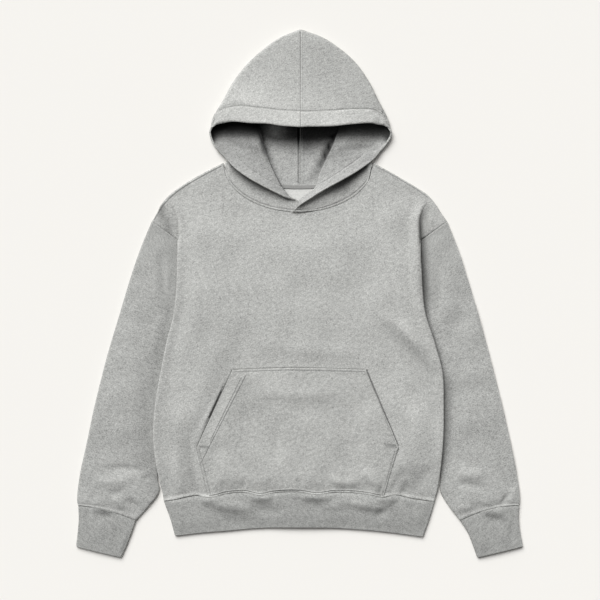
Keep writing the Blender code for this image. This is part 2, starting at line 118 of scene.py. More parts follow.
def foldRelief(x, y, rows, strength=1.0):
    # Soft ridges, and troughs where the height is below zero. Each runs between
    # two points along a shallow arc: x0 y0 x1 y1 bow width height.
    total = np.zeros_like(x)
    for x0, y0, x1, y1, bow, width, height in rows:
        dx, dy = x1 - x0, y1 - y0
        length = math.hypot(dx, dy)
        along = ((x - x0) * dx + (y - y0) * dy) / length ** 2
        off = ((x - x0) * dy - (y - y0) * dx) / length
        inside = np.clip(along, 0.0, 1.0)
        window = np.sin(math.pi * inside) ** 0.8
        total += height * window * bump(off - bow * 4 * inside * (1 - inside), width)
    return total * strength


def swells(x, y, size, height, seed):  # low swells in all directions
    random = np.random.default_rng(seed)
    total = np.zeros_like(x)
    for _ in range(14):
        angle = random.uniform(0, 2 * math.pi)
        wave = 2 * math.pi / (size * random.uniform(0.7, 1.7))
        phase = random.uniform(0, 2 * math.pi)
        total += np.sin(wave * (x * math.cos(angle) + y * math.sin(angle)) + phase)
    return height * total / math.sqrt(14)


# Meshes. A cloth is a closed shell on grids that run down the middle of it.

def corners(values):           # the four corners of each cell of a grid
    return np.stack([values[:-1, :-1], values[:-1, 1:], values[1:, 1:], values[1:, :-1]], axis=2)


def unit(vectors):
    return vectors / (np.linalg.norm(vectors, axis=-1, keepdims=True) + 1e-9)


def makeMesh(name, points, faces, materials, uv=None, slots=None, paintedShade=None):
    mesh = bpy.data.meshes.new(name)
    sides = faces.shape[1]
    mesh.vertices.add(len(points))
    mesh.vertices.foreach_set("co", (points * mm).astype(np.float32).ravel())
    mesh.loops.add(faces.size)
    mesh.loops.foreach_set("vertex_index", faces.astype(np.int32).ravel())
    mesh.polygons.add(len(faces))
    mesh.polygons.foreach_set("loop_start", np.arange(0, faces.size, sides, dtype=np.int32))
    mesh.polygons.foreach_set("use_smooth", np.ones(len(faces), dtype=bool))
    for material in materials:
        mesh.materials.append(material)
    if slots is not None:
        mesh.polygons.foreach_set("material_index", slots.astype(np.int32))
    if uv is not None:
        layer = mesh.uv_layers.new(name="cloth")
        layer.data.foreach_set("uv", (uv * mm).astype(np.float32).ravel())
    # painted shade per point, a painted highlight where it is below zero
    if paintedShade is not None:
        mask = mesh.attributes.new("paintedShade", "FLOAT", "POINT")
        mask.data.foreach_set("value", paintedShade.astype(np.float32))
    mesh.update(calc_edges=True)
    item = bpy.data.objects.new(name, mesh)
    bpy.context.collection.objects.link(item)
    return item


def cloth(name, grids, uvs, materials, halves, ring=False, reach=rimReach, paintedShade=None):
    # Its first material is on the side that the faces point to, and the last one
    # on the other. halves holds half of the thickness at each point. The mask last
    # holds the shade painted into each side's colour, a painted highlight where below zero.
    faces, first = [], 0
    for grid in grids:
        index = np.arange(first, first + grid[..., 0].size).reshape(grid.shape[:2])
        first += index.size
        if ring:
            index = np.concatenate([index, index[:, :1]], axis=1)
        faces.append(corners(index).reshape(-1, 4))
    faces = np.concatenate(faces)
    uv = np.concatenate([corners(values).reshape(-1, 4, 2) for values in uvs])
    points = np.concatenate([grid.reshape(-1, 3) for grid in grids])
    half = np.concatenate([values.ravel() for values in halves])
    _, chosen, merged = np.unique(np.round(points, 3), axis=0, return_index=True,
                                  return_inverse=True)
    points, half, faces = points[chosen], half[chosen][:, None], merged.ravel()[faces]
    shadeMask = []
    if paintedShade is not None:
        shadeMask = [np.concatenate([values.ravel() for values in face])[chosen] for face in paintedShade]
    count = len(points)

    p = points[faces]
    faceNormals = np.cross(p[:, 2] - p[:, 0], p[:, 3] - p[:, 1])
    normal = np.zeros_like(points)
    for corner in range(4):
        np.add.at(normal, faces[:, corner], faceNormals)
    normal = unit(normal)

    a, b = faces.ravel(), np.roll(faces, -1, axis=1).ravel()
    rim = ~np.isin(a * count + b, b * count + a)
    a, b = a[rim], b[rim]
    tangent = np.zeros_like(points)
    np.add.at(tangent, a, unit(points[b] - points[a]))
    np.add.at(tangent, b, unit(points[b] - points[a]))
    edge = np.unique(a)
    out = unit(np.cross(tangent[edge], normal[edge]))
    place = np.zeros(count, dtype=int)
    place[edge] = np.arange(len(edge))
    uvAt = np.zeros((count, 2))
    uvAt[faces.ravel()] = uv.reshape(-1, 2)

    layers = [points + normal * half, points - normal * half]
    allFaces, allUv = [faces, faces[:, ::-1] + count], [uv, uv[:, ::-1]]
    slots = [np.zeros(len(faces)), np.full(len(faces), len(materials) - 1)]
    upperA, upperB, offset = a, b, 2 * count
    for angle in (45, 90, 135, 180):  # round the rim, from one side to the other
        lean, rise = math.sin(math.radians(angle)), math.cos(math.radians(angle))
        if angle == 180:
            lowerA, lowerB = a + count, b + count
        else:
            lowerA, lowerB = place[a] + offset, place[b] + offset
            layers.append(points[edge] + normal[edge] * half[edge] * rise + out * reach * lean)
            if shadeMask:
                shadeMask.append(shadeMask[0][edge])
            offset += len(edge)
        allFaces.append(np.stack([upperB, upperA, lowerA, lowerB], axis=1))
        allUv.append(np.stack([uvAt[b], uvAt[a], uvAt[a], uvAt[b]], axis=1))
        slots.append(np.zeros(len(a)))
        upperA, upperB = lowerA, lowerB
    points = np.concatenate(layers)
    points[:, 2] = np.maximum(points[:, 2], 0.0)  # flat where it lies on the table
    item = makeMesh(name, points, np.concatenate(allFaces), materials,
                    np.concatenate(allUv), np.concatenate(slots),
                    np.concatenate(shadeMask) if shadeMask else None)
    area = np.linalg.norm(faceNormals, axis=1).sum() / 2 * mm * mm
    triangles = 2 * sum(len(part) for part in allFaces)
    print(f"{name}: {triangles} triangles, {area:.3f} square metres")
    return item, float(area)


def runLength(grid, axis):     # distance travelled along the rows or the columns
    steps = np.linalg.norm(np.diff(grid, axis=axis), axis=2)
    total = np.zeros(grid.shape[:2])
    if axis == 1:
        total[:, 1:] = np.cumsum(steps, axis=1)
    else:
        total[1:] = np.cumsum(steps, axis=0)
    return total


# Materials. The groups put out colours and heights, and each material holds its
# own shader.

def newGroup(name, inputs, outputs):
    group = bpy.data.node_groups.new(name, "ShaderNodeTree")
    for label, kind, value in inputs:
        socket = group.interface.new_socket(name=label, in_out="INPUT", socket_type=kind)
        if value is not None:
            socket.default_value = value
    for label, kind in outputs:
        group.interface.new_socket(name=label, in_out="OUTPUT", socket_type=kind)
    return group, group.nodes.new("NodeGroupInput"), group.nodes.new("NodeGroupOutput")


def node(tree, kind, inputs=None, **settings):
    made = tree.nodes.new(kind)
    for key, value in settings.items():
        setattr(made, key, value)
    for key, value in (inputs or {}).items():
        if isinstance(value, bpy.types.NodeSocket):
            tree.links.new(value, made.inputs[key])
        else:
            made.inputs[key].default_value = value
    return made


def noise(tree, vector, scale, detail, roughness):
    found = node(tree, "ShaderNodeTexNoise", {"Vector": vector, "Scale": scale, "Detail": detail,
                                              "Roughness": roughness})
    return found.outputs["Fac"]


def spread(tree, value, lowest, highest):  # stretches a narrow band of noise to 0 to 1
    found = node(tree, "ShaderNodeMapRange", {"Value": value, "From Min": lowest,
                                              "From Max": highest})
    return found.outputs["Result"]


def maths(tree, operation, a, b):
    return node(tree, "ShaderNodeMath", {0: a, 1: b}, operation=operation).outputs[0]


def vectorMaths(tree, operation, a, b, output=0):
    return node(tree, "ShaderNodeVectorMath", {0: a, 1: b}, operation=operation).outputs[output]


def heatherGroup():
    # Light and dark fibres spun together: flecks drawn out along the wales, soft
    # clouds of a few millimetres, and a slow change over the panel.
    group, given, put = newGroup(
        "heather yarn",
        [("Vector", "NodeSocketVector", None), ("Yarn", "NodeSocketColor", (0.4, 0.4, 0.39, 1)),
         ("Flecks", "NodeSocketFloat", 0.3), ("Clouds", "NodeSocketFloat", 0.1),
         ("Patches", "NodeSocketFloat", 0.05)],
        [("Color", "NodeSocketColor")])
    vector = given.outputs["Vector"]
    drawn = node(group, "ShaderNodeMapping",
                 {"Vector": vector, "Rotation": (0, 0, 0.35), "Scale": (1.6, 0.85, 1.0)},
                 vector_type="TEXTURE").outputs[0]
    total = None
    for amount, place, scale, detail, roughness in (
            ("Flecks", drawn, 540, 3, 0.65), ("Clouds", drawn, 170, 2, 0.6),
            ("Patches", vector, 14, 2, 0.5)):
        value = spread(group, noise(group, place, scale, detail, roughness), 0.25, 0.75)
        centred = maths(group, "SUBTRACT", value, 0.5)
        part = maths(group, "MULTIPLY", centred, given.outputs[amount])
        total = part if total is None else maths(group, "ADD", total, part)
    shade = maths(group, "ADD", total, 1.0)
    group.links.new(vectorMaths(group, "MULTIPLY", given.outputs["Yarn"], shade),
                    put.inputs["Color"])
    return group


def knitGroup():
    # Wales and courses of a jersey face under short nap.
    group, given, put = newGroup(
        "knit face",
        [("Vector", "NodeSocketVector", None), ("Wales", "NodeSocketFloat", 620.0),
         ("Courses", "NodeSocketFloat", 480.0), ("Nap", "NodeSocketFloat", 0.5)],
        [("Height", "NodeSocketFloat")])
    part = node(group, "ShaderNodeSeparateXYZ", {0: given.outputs["Vector"]})
    waves = []
    for place, rate in ((0, "Wales"), (1, "Courses")):
        turn = maths(group, "MULTIPLY", part.outputs[place], given.outputs[rate])
        waves.append(maths(group, "SINE", maths(group, "MULTIPLY", turn, 2 * math.pi), 0.0))
    loops = maths(group, "ADD", waves[0], maths(group, "MULTIPLY", waves[1], 0.4))
    nap = noise(group, given.outputs["Vector"], 900, 3, 0.7)
    nap = maths(group, "MULTIPLY", maths(group, "SUBTRACT", nap, 0.5), given.outputs["Nap"])
    total = maths(group, "ADD", maths(group, "MULTIPLY", loops, 0.25), nap)
    group.links.new(total, put.inputs["Height"])
    return group


def seamGroup():
    # A straight line between two points, in the plan. Materials dent the fleece
    # along it where stitching presses it down, and paint shade into the colour there.
    group, given, put = newGroup(
        "line of dent and painted shade",
        [("Vector", "NodeSocketVector", None), ("From", "NodeSocketVector", None),
         ("To", "NodeSocketVector", None), ("Width", "NodeSocketFloat", 0.002)],
        [("Line", "NodeSocketFloat")])
    start = given.outputs["From"]
    flat = vectorMaths(group, "MULTIPLY", given.outputs["Vector"], (1, 1, 0))
    whole = vectorMaths(group, "SUBTRACT", given.outputs["To"], start)
    part = vectorMaths(group, "SUBTRACT", flat, start)
    dots = [vectorMaths(group, "DOT_PRODUCT", a, whole, "Value") for a in (part, whole)]
    share = node(group, "ShaderNodeClamp", {"Value": maths(group, "DIVIDE", *dots)}).outputs[0]
    nearest = node(group, "ShaderNodeVectorMath", {0: whole, "Scale": share},
                   operation="SCALE").outputs[0]
    away = vectorMaths(group, "DISTANCE", part, nearest, "Value")
    ratio = maths(group, "DIVIDE", away, given.outputs["Width"])
    line = node(group, "ShaderNodeMapRange", {"Value": ratio, "From Min": 1.0, "From Max": 0.2},
                interpolation_type="SMOOTHSTEP").outputs["Result"]
    group.links.new(line, put.inputs["Line"])
    return group


heather = heatherGroup()
knit = knitGroup()
pressed = seamGroup()
pressDepth, pressShade = 3.0, 0.42  # what a line takes from the height, and the painted shade it puts in the colour
paintedShadeStrength = 0.9             # what a painted-shade mask of 1 takes from the colour
plainFleece = {
    "yarn": (0.405, 0.407, 0.392), "flecks": 0.95, "clouds": 0.42, "patches": 0.12,
    "wales": 620.0, "courses": 480.0, "nap": 1.6,  # to a metre, and the height of the nap
    "strength": 0.7, "depth": 0.25,  # of the bump
    "roughness": 0.95, "specular": 0.15, "sheen": 0.06, "sheenRoughness": 0.6}


def clothMaterial(name, lines=(), paintedShade=False, **changes):
    settings = {**plainFleece, **changes}
    material = bpy.data.materials.new(name)
    material.use_nodes = True
    tree = material.node_tree
    shader = tree.nodes["Principled BSDF"]
    vector = node(tree, "ShaderNodeUVMap", uv_map="cloth").outputs["UV"]
    yarn = node(tree, "ShaderNodeGroup", node_tree=heather)
    face = node(tree, "ShaderNodeGroup", node_tree=knit)
    for part in (yarn, face):
        tree.links.new(vector, part.inputs["Vector"])
    yarn.inputs["Yarn"].default_value = (*settings["yarn"], 1)
    for label in ("Flecks", "Clouds", "Patches"):
        yarn.inputs[label].default_value = settings[label.lower()]
    for label in ("Wales", "Courses", "Nap"):
        face.inputs[label].default_value = settings[label.lower()]
    colour, height = yarn.outputs["Color"], face.outputs["Height"]
    place = node(tree, "ShaderNodeTexCoord").outputs["Object"] if lines else None
    deepest = None
    for x0, y0, x1, y1, width, depth in lines:
        line = node(tree, "ShaderNodeGroup", node_tree=pressed)
        tree.links.new(place, line.inputs["Vector"])
        line.inputs["From"].default_value = (x0 * mm, y0 * mm, 0)
        line.inputs["To"].default_value = (x1 * mm, y1 * mm, 0)
        line.inputs["Width"].default_value = width * mm
        made = maths(tree, "MULTIPLY", line.outputs["Line"], depth)
        deepest = made if deepest is None else maths(tree, "MAXIMUM", deepest, made)
    # the lines dent the bump and paint shade into the colour along them
    if lines:
        height = maths(tree, "SUBTRACT", height, maths(tree, "MULTIPLY", deepest, pressDepth))
        shade = maths(tree, "SUBTRACT", 1.0, maths(tree, "MULTIPLY", deepest, pressShade))
        colour = vectorMaths(tree, "MULTIPLY", colour, shade)
    # painted shade from the mesh's mask; below zero it lightens, a painted highlight
    if paintedShade:
        mask = node(tree, "ShaderNodeAttribute", attribute_name="paintedShade").outputs["Fac"]
        shade = maths(tree, "SUBTRACT", 1.0, maths(tree, "MULTIPLY", mask, paintedShadeStrength))
        colour = vectorMaths(tree, "MULTIPLY", colour, shade)
    raised = node(tree, "ShaderNodeBump", {"Height": height, "Strength": settings["strength"],
                                           "Distance": settings["depth"] * mm})
    tree.links.new(colour, shader.inputs["Base Color"])
    tree.links.new(raised.outputs["Normal"], shader.inputs["Normal"])
    for label, name in (("Roughness", "roughness"), ("Specular IOR Level", "specular"),
                        ("Sheen Weight", "sheen"), ("Sheen Roughness", "sheenRoughness")):
        shader.inputs[label].default_value = settings[name]
    return material


fleece = clothMaterial("heather fleece")
# its yarn is darker than the body's: painted shade on the same fleece
sleeveFleece = clothMaterial("heather fleece of the sleeves", paintedShade=True,
                             yarn=(0.36, 0.362, 0.349), flecks=1.1, clouds=0.4, patches=0.16)
hoodOutside = clothMaterial("heather fleece of the hood", paintedShade=True, flecks=1.05, clouds=0.38)
hoodInside = clothMaterial("heather fleece inside the hood", paintedShade=True,
                           yarn=(0.40, 0.402, 0.39), flecks=1.0, clouds=0.45, patches=0.16,
                           nap=1.8, strength=0.8, sheen=0.04)


def chain(points, sizes):      # joined lines, each with its width and depth
    return [(*start, *end, *size) for start, end, size in zip(points, points[1:], sizes)]


pocketLines = [                # dents with painted shade along the pocket's stitching and edges: x0 y0 x1 y1 width depth
    (-124, -149.4, -20, -145.7, 1.6, 0.55), (-20, -145.7, 123, -149.4, 1.6, 0.55),
    (-102, -157, -187, -322.5, 1.5, 0.9), (-110, -160, -168, -278, 1.5, 0.7),
    (-190, -296, -169, -382, 1.6, 0.5), (181, -300, 157, -384, 1.6, 0.5),
    (187.4, -296, 160.4, -388, 1.2, 1.2), (127, -150, 179.5, -281, 1.5, 0.35),
    (163, -287, 181, -288.5, 3.0, 0.7)]
frontLines = [                 # painted shadow lines, each with a dent: along the pocket's edge and in its left opening, and at the shoulder seams
    (-126, -144.6, -20, -140.6, 1.8, 0.8), (-20, -140.6, 124, -144.6, 1.8, 0.8),
    (-128, -146, -194.6, -291, 1.9, 0.9), (-148.5, -187, -171, -236, 2.6, 2.0),
    (-145, -177, -177, -246, 2.0, 0.8),
    (-195.4, -293, -174.6, -382, 1.6, 0.6),
    (127.6, -146, 187.4, -289, 2.2, 1.4), (189, -295, 163.5, -384, 1.4, 0.2),
    *chain([(-149, 241), (-179, 225.4), (-206, 210), (-228.6, 195.5), (-246.5, 180.5),
            (-259.5, 166), (-276, 139.5)],
           [(1.6, 0.9), (1.7, 1.0), (1.8, 1.1), (1.8, 1.1), (1.7, 1.0), (1.5, 0.8)]),
    *chain([(143, 242), (172, 227), (198, 212), (222.5, 197.5), (243, 182.5)],
           [(1.4, 0.6), (1.4, 0.7), (1.4, 0.8), (1.4, 0.7)])]
frontFleece = clothMaterial("heather fleece of the front", frontLines, paintedShade=True, flecks=1.05,
                            clouds=0.38)
pocketFleece = clothMaterial("heather fleece of the pocket", pocketLines,
                             yarn=(0.395, 0.397, 0.382), patches=0.16)
brushed = clothMaterial("brushed inside", yarn=(0.62, 0.62, 0.60), flecks=0.25, clouds=0.12,
                        patches=0.06, wales=200.0, courses=150.0, nap=3.0, strength=0.8,
                        depth=0.4, sheen=0.12)
rib = clothMaterial("heather rib", paintedShade=True, yarn=(0.30, 0.302, 0.291), clouds=0.4,
                    wales=333.0, courses=520.0, nap=1.0, strength=0.6, sheen=0.05)
twill = clothMaterial("neck tape twill", yarn=(0.27, 0.27, 0.262), flecks=0.25, clouds=0.1,
                      patches=0.03, wales=900.0, courses=900.0, nap=0.4, strength=0.6,
                      depth=0.15, sheen=0.05)
print("materials made")

# The garment's outline, as in the frame it stands for.
sides = table(
    "y     left   right  lift  tuck",
    (-395, -258,  257,   0.0,   0),
    (-365, -263,  264,   3.6,   0),
    (-334, -269,  268,   6.6,   0),
    (-279, -276,  273,   6.6,  10),
    (-218, -273,  274,   6.6,  32),
    (-146, -261,  271,   6.6,  52),
    (-91,  -250,  256,   6.6,  58),
    (-39,  -237,  239,   6.6,  55),
    (0,    -233,  234,   6.6,  30),
    (38,   -231,  232,   6.6,   5),
    (60,   -230.6, 230.6, 6.0,  0),
    (82,   -230.4, 230.0, 4.6,  0),
    (101,  -230.2, 230.0, 3.0,  0),
    (140,  -233,  230.4, 1.6,   0),
    (170,  -244,  241,   0.6,   0),
    (185,  -250,  246,   0.0,   0))
shoulders = table(
    "y    left   right",
    (137, -281,  281),
    (154, -271,  269),
    (170, -263,  259),
    (185, -250,  246),
    (200, -231,  225),
    (215, -208,  200),
    (230, -181,  174),
    (248, -145,  141))
sleeves = table(
    "outerY outerLeft outerRight innerY innerLeft innerRight",
    (137,    -281,       281,        101,   -231,       232),
    (84,     -303,       302,         45,   -226,       228),
    (28,     -322,       320,         -3,   -207,       208),
    (-42,    -343,       341,        -58,   -183,       186),
    (-119,   -366,       362,       -135,   -207,       214),
    (-210,   -389,       385,       -222,   -242,       243),
    (-290,   -406,       403,       -297,   -267,       265),
    (-340,   -417,       413,       -350,   -270,       268),
    (-375,   -422,       418,       -377,   -267,       268),
    (-394,   -423,       419,       -406,   -288,       285),
    (-403,   -421,       418,       -432,   -311,       305))
cuffs = table(
    "outerY outerLeft outerRight innerY innerLeft innerRight",
    (-403,   -421,       418,       -432,   -311,       305),
    (-428,   -420,       417,       -455,   -319,       320),
    (-455,   -422,       420,       -480,   -329,       330),
    (-481,   -425,       425,       -502,   -339,       338))
waist = table(
    "down   left   right",
    (0.00, -258,  257),
    (0.50, -246,  247),
    (1.00, -237,  235))
pocketSides = table(
    "y     left   right",
    (-386, -172,  161),
    (-356, -179,  169),
    (-325, -187,  178),
    (-292, -194,  188),
    (-255, -178,  173),
    (-219, -161,  157),
    (-182, -144,  141),
    (-146, -127,  126))
# Waistband seam, drawn in by its stitching, and the lower edge.
hemSeam = table(
    "x    y",
    (-259, -395), (-237, -392), (-212, -386), (-193, -384), (-181, -387.5), (-164, -387),
    (-140, -381), (-104, -378.5), (-75, -384), (-47, -379), (-1, -377.5), (35, -382.5),
    (64, -378.5), (107, -379.5), (134, -383), (160, -387.5), (181, -383.5), (212, -389),
    (227, -391.5), (258, -396))
hemEdge = table(
    "x    y",
    (-237, -461.2), (-189, -455.5), (-140, -451.7), (-83, -446.6), (5, -445.3), (64, -446),
    (123, -449.8), (180, -455.5), (235, -463.1))


def sideAt(name, y):
    return smooth(sides["y"], sides[name], y)


def hemAt(x):
    return smooth(hemSeam["x"], hemSeam["y"], x)


def liftAt(x, y):              # the body is raised over the sleeves tucked under it
    slopeEnd, slopeLength = 95, 65
    reach = sideAt("tuck", y) + slopeEnd
    left = sideAt("left", y) + reach - x
    right = x - sideAt("right", y) + reach
    return sideAt("lift", y) * ease(np.maximum(left, right) / slopeLength)


def outsideNeck(x, y):         # distance from the front neckline
    return (np.hypot((x - neckX) / neckHalf, (y - neckY) / frontNeck) - 1) * neckFall


def belowTop(x, y):            # how far below the shoulder line and outside the neckline
    ring = outsideNeck(x, y)
    inside = np.abs(x - neckX) < neckHalf
    return np.where(inside, ring, np.minimum(ring + 2, topAt(x, frontNeck) - y))


def topAt(x, depth):           # shoulder line, and the neckline between its ends
    across = (x - neckX) / neckHalf
    neck = neckY - depth * np.sqrt(np.clip(1 - across ** 2, 0, 1))
    left = smooth(shoulders["left"], shoulders["y"], x)
    right = smooth(shoulders["right"], shoulders["y"], x)
    return np.where(np.abs(across) < 1, neck, np.where(x < neckX, left, right))


# Front and back panels.
body = {
    "step": 2.7,              # spacing of the grid
    "neckColumns": 112,
    "puff": 2.2,              # how far the front stands up off the back
    "neckPuff": 0.5,          # and how much further in a ring round the neck
    "mound": (-30, -20, 200, 190, 8.0),  # the chest and belly: x y across down height
    "fades": (45, 85, 30),    # how far in these grow, from the sides, the top and the hem
    "rolls": ((1.7, 4, 11), (4.2, 7, 10)),  # along each side: height, distance in, width
    "creaseWidth": 5.0,       # where the sleeve is turned up beside the body
    "creaseDip": 0.9,
    "bulge": (8.0, 2.2, 1.8),  # of the left side over its sleeve: width, out, up
    "swells": (75, 0.55, 3),  # size, height and seed
    "strength": 1.8,          # of the folds
    "seamRidge": 0.9,
    "seamDip": 0.5,
    "seamShade": 0.3,         # painted highlight on the fleece beside the waistband seam
    "lowest": -0.8,           # no trough goes further into the back
    "folds": (                # x0 y0 x1 y1 bow width height
        (226, 170, 222, -45, 3, 11, 2.2),
        (156, -36, 264, -148, -3, 11, 3.0),
        (215, -215, 252, -330, 5, 20, 1.8),
        (204, -330, 176, -390, 3, 10, -2.0),
        (246, -330, 214, -384, 2, 12, -1.2),
        (-268, -60, -262, -300, 0, 28, 2.4),
        (-216, -272, -196, -376, -3, 10, -1.6),
        (-236, -290, -222, -380, 2, 9, 1.4),
        (-70, -98, 118, -112, 4, 15, 1.4),
        (-205, 60, -190, -60, 6, 22, 1.2),
        (-190, 150, -120, 80, 8, 24, 1.0),
        (120, 120, 190, 150, -6, 24, 1.0),
        (-146, -352, -139, -384, 1, 5, -1.1),
        (-106, -350, -101, -380, 1, 5, -1.0),
        (-60, -352, -56, -382, -1, 5, -1.2),
        (-2, -346, 3, -378, 1, 5, -0.9),
        (82, -338, 90, -378, -1, 6, -1.2),
        (160, -352, 152, -388, 1, 5, -1.0),
        (-247, 184, -222, 104, 2, 9, 1.7),
        (190, -52, 246, -112, 2, 12, 1.4),
        (140, -50, 236, -160, -4, 20, -1.0),
        (176, -186, 240, -262, 0, 20, 1.2),
        (-232, -190, -222, -264, 0, 18, 1.4)),
    "shadows": (              # painted shade where the folds close over; below zero, painted highlight
        (130, -26, 262, -172, -4, 23, 0.13),
        (60, 196, 140, 214, -10, 22, 0.05),
        (-166, 92, -140, 86, 0, 22, -0.05),
        (256, -258, 172, -396, 6, 17, 0.17),
        (-224, -258, -193, -386, 0, 14, 0.11),
        (-212, -330, -190, -386, 1, 10, 0.09),
        (-143, -158, -176, -232, 0, 7, 0.17),
        (184, -384, 220, -318, 2, 8, 0.10),
        (188, -386, 204, -352, 0, 6.5, 0.34),
        (214, -392, 230, -318, 0, 17, 0.19),
        (196, 200, 226, 184, 0, 12, 0.05),
        (224, 110, 218, 6, 0, 12, 0.05),
        (-210, -70, -180, -130, 0, 24, 0.05),
        (-262, -300, -244, -366, 0, 14, 0.07),
        (96, 84, 102, -54, 0, 24, 0.06),
        (-188, 20, -176, -90, 0, 28, 0.05),
        (184, -44, 240, -102, 2, 12, -0.07),
        (-247, 184, -225, 106, 2, 6, -0.10),
        (184, -196, 238, -256, 0, 22, -0.07),
        (-236, -190, -216, -262, 0, 20, -0.08)),
    "capPuff": 2.6,           # of the shoulder caps
    "capRidge": 0.5,
    "capShades": {"left": (25, 14, 0.42), "right": (0, 10, 0.89)},  # distance, width, depth
    "capFolds": (
        (-257, 176, -268, 112, -1, 7, -2.2),
        (262, 172, 266, 128, 1, 8, -1.0)),
    "slit": (                 # beside the pocket's left opening
        (-139, -156, -200, -288, -1, 5.0, 3.4),
        (-133, -158, -193, -288, 0, 2.2, -1.0),
        (134, -162, 186, -284, 1, 3.2, 1.2)),
}
hemFolds = (                   # puckers across the waistband seam
    (-98, -386, -50, -388, -1, 8, 3.4),
    (2, -386, 62, -388, -1, 8, 3.8),
    (-30, -380, 8, -380, 0, 9, 1.0),
    (100, -386, 160, -398, 1, 9, 2.6),
    (-190, -392, -150, -388, 0, 8, 2.4),
    (-252, -396, -228, -392, 0, 8, 1.6),
    (190, -392, 222, -394, 0, 9, 1.6))


def frontRelief(x, y, slit=True):
    fromLeft, fromRight = x - sideAt("left", y), sideAt("right", y) - x
    edge = np.minimum(fromLeft, fromRight)
    top = belowTop(x, y)
    hem = y - hemAt(x)
    sideFade, topFade, hemFade = body["fades"]
    room = ease(edge / sideFade) * ease(top / topFade) * ease(hem / hemFade)
    ring = bump(outsideNeck(x, y) - 30, 13) * ease((150 - y) / 60)
    relief = (body["puff"] + body["neckPuff"] * ring) * room
    relief += spot(x, y, *body["mound"]) * room
    (leftRise, leftIn, leftWide), (rightRise, rightIn, rightWide) = body["rolls"]
    beside = ease((y - hemLevel) / 60) * ease((178 - y) / 32)
    rightRise = rightRise * mix(0.25, 1, ease((y + 150) / 90))  # lower beside the pocket
    relief += beside * (leftRise * bump(fromLeft - leftIn, leftWide)
                        + rightRise * bump(fromRight - rightIn, rightWide))
    relief += foldRelief(x, y, body["folds"], body["strength"]) * ease(top / 20)
    relief += foldRelief(x, y, hemFolds)
    relief += swells(x, y, *body["swells"]) * ease(edge / 30) * ease(top / 25) * ease(hem / 15)
    relief += seamRoll(hem, body["seamRidge"], body["seamDip"])
    if slit:
        relief += foldRelief(x, y, body["slit"])
    return np.maximum(relief, body["lowest"])


def frontHeight(x, y, slit=True):  # middle of the front panel
    return high + liftAt(x, y) + frontRelief(x, y, slit)


turns = np.radians((70, 56, 42, 28, 14))  # round the fold at the side
rollSteps = np.append(fold * (1 - np.sin(turns)), fold)
rollDrops = np.append(fold * (1 - np.cos(turns)), 0.0)


def bodyGrids(isFront):
    # Each row runs from side to side. The first one follows the hem, and the last
    # one the shoulders and the neckline. Two fans reach on to the armhole seams.
    depth = frontNeck if isFront else backNeck
    sign = 1 if isFront else -1
    roll = len(rollSteps)
    lowest, highest = hemLevel + inset, creaseTopY - wall / 2
    corner = {"left": neckX - neckHalf, "right": neckX + neckHalf}
    reach = {name: abs(corner[name] - sideAt(name, creaseTopY)) for name in corner}
    outer = {name: np.append(rollSteps[:-1], fold + spaced(reach[name] - fold, 0.8, body["step"], 2.0))
             for name in corner}
    angles = np.linspace(0, math.pi, body["neckColumns"] + 1)[1:-1]
    neckTop = neckX - neckHalf * np.cos(angles)
    neckEven = np.linspace(corner["left"], corner["right"], len(angles) + 2)[1:-1]
    rowsLow = lowest + spaced(armpitY - lowest, 1.0, body["step"], 1.2)
    rowsHigh = armpitY + spaced(highest - fold - armpitY, 1.2, body["step"], 0.8)[1:]
    levels = [(y, 0.0) for y in np.append(rowsLow, rowsHigh)]
    levels += [(highest - step, drop) for step, drop in zip(rollSteps[-2::-1], rollDrops[-2::-1])]
    rows = []
    for sideY, drop in levels:
        open_ = 1 - ease((sideY - armpitY + 18) / 18)  # below the armpit
        share = (sideY - lowest) / (highest - lowest)
        parts = {}
        for name in corner:
            inward = 1 if name == "left" else -1
            start = sideAt(name, sideY) + inward * wall / 2 * open_
            scale = abs(corner[name] - start) / reach[name]
            parts[name] = start + inward * outer[name] * mix(1, scale, ease(outer[name] / 30))
        middle = mix(neckEven, neckTop, ease((share - 0.2) / 0.75))
        x = np.concatenate([parts["left"], middle, parts["right"][::-1]])
        topX = np.concatenate([corner["left"] - reach["left"] + outer["left"], neckTop,
                               (corner["right"] + reach["right"] - outer["right"])[::-1]])
        shoulder = ease((np.abs(topX - neckX) - neckHalf) / 10)
        top = topAt(topX, depth) - mix(inset, wall / 2, shoulder)
        y = mix(hemAt(x) + inset, top, share)
        sideDrop = np.zeros(len(x))
        sideDrop[:roll] = rollDrops
        sideDrop[-roll:] = rollDrops[::-1]
        if isFront:
            near = np.full(len(x), 99.0)  # distance in from the nearer side
            near[:len(outer["left"])] = outer["left"]
            near[-len(outer["right"]):] = outer["right"][::-1]
            z = frontHeight(x, y)
            valley = high - body["creaseDip"] * bump(sideY - 125, 35)
            creased = mix(valley, z, ease(near / body["creaseWidth"]))
            z = mix(creased, z - sideDrop, open_)
            width, outward, upward = body["bulge"]
            over = ease((armpitY + 6 - sideY) / 14) * ease((sideY + 380) / 30)
            bulge = bump(np.maximum(near - fold, 0), width) * (1 - sideDrop / fold * 0.6) * over
            bulge[len(x) // 2:] = 0
            x = x - outward * bulge
            z = z + upward * bulge
        else:
            z = low + liftAt(x, y) * ease((armpitY - sideY) / 18) + sideDrop * open_
        rows.append(np.stack([x, y, z - sign * drop * shoulder], axis=1))
    grid = np.array(rows)
    fans = [fan(grid[len(rowsLow) - 1:], name, high if isFront else low) for name in corner]
    return [grid] + fans


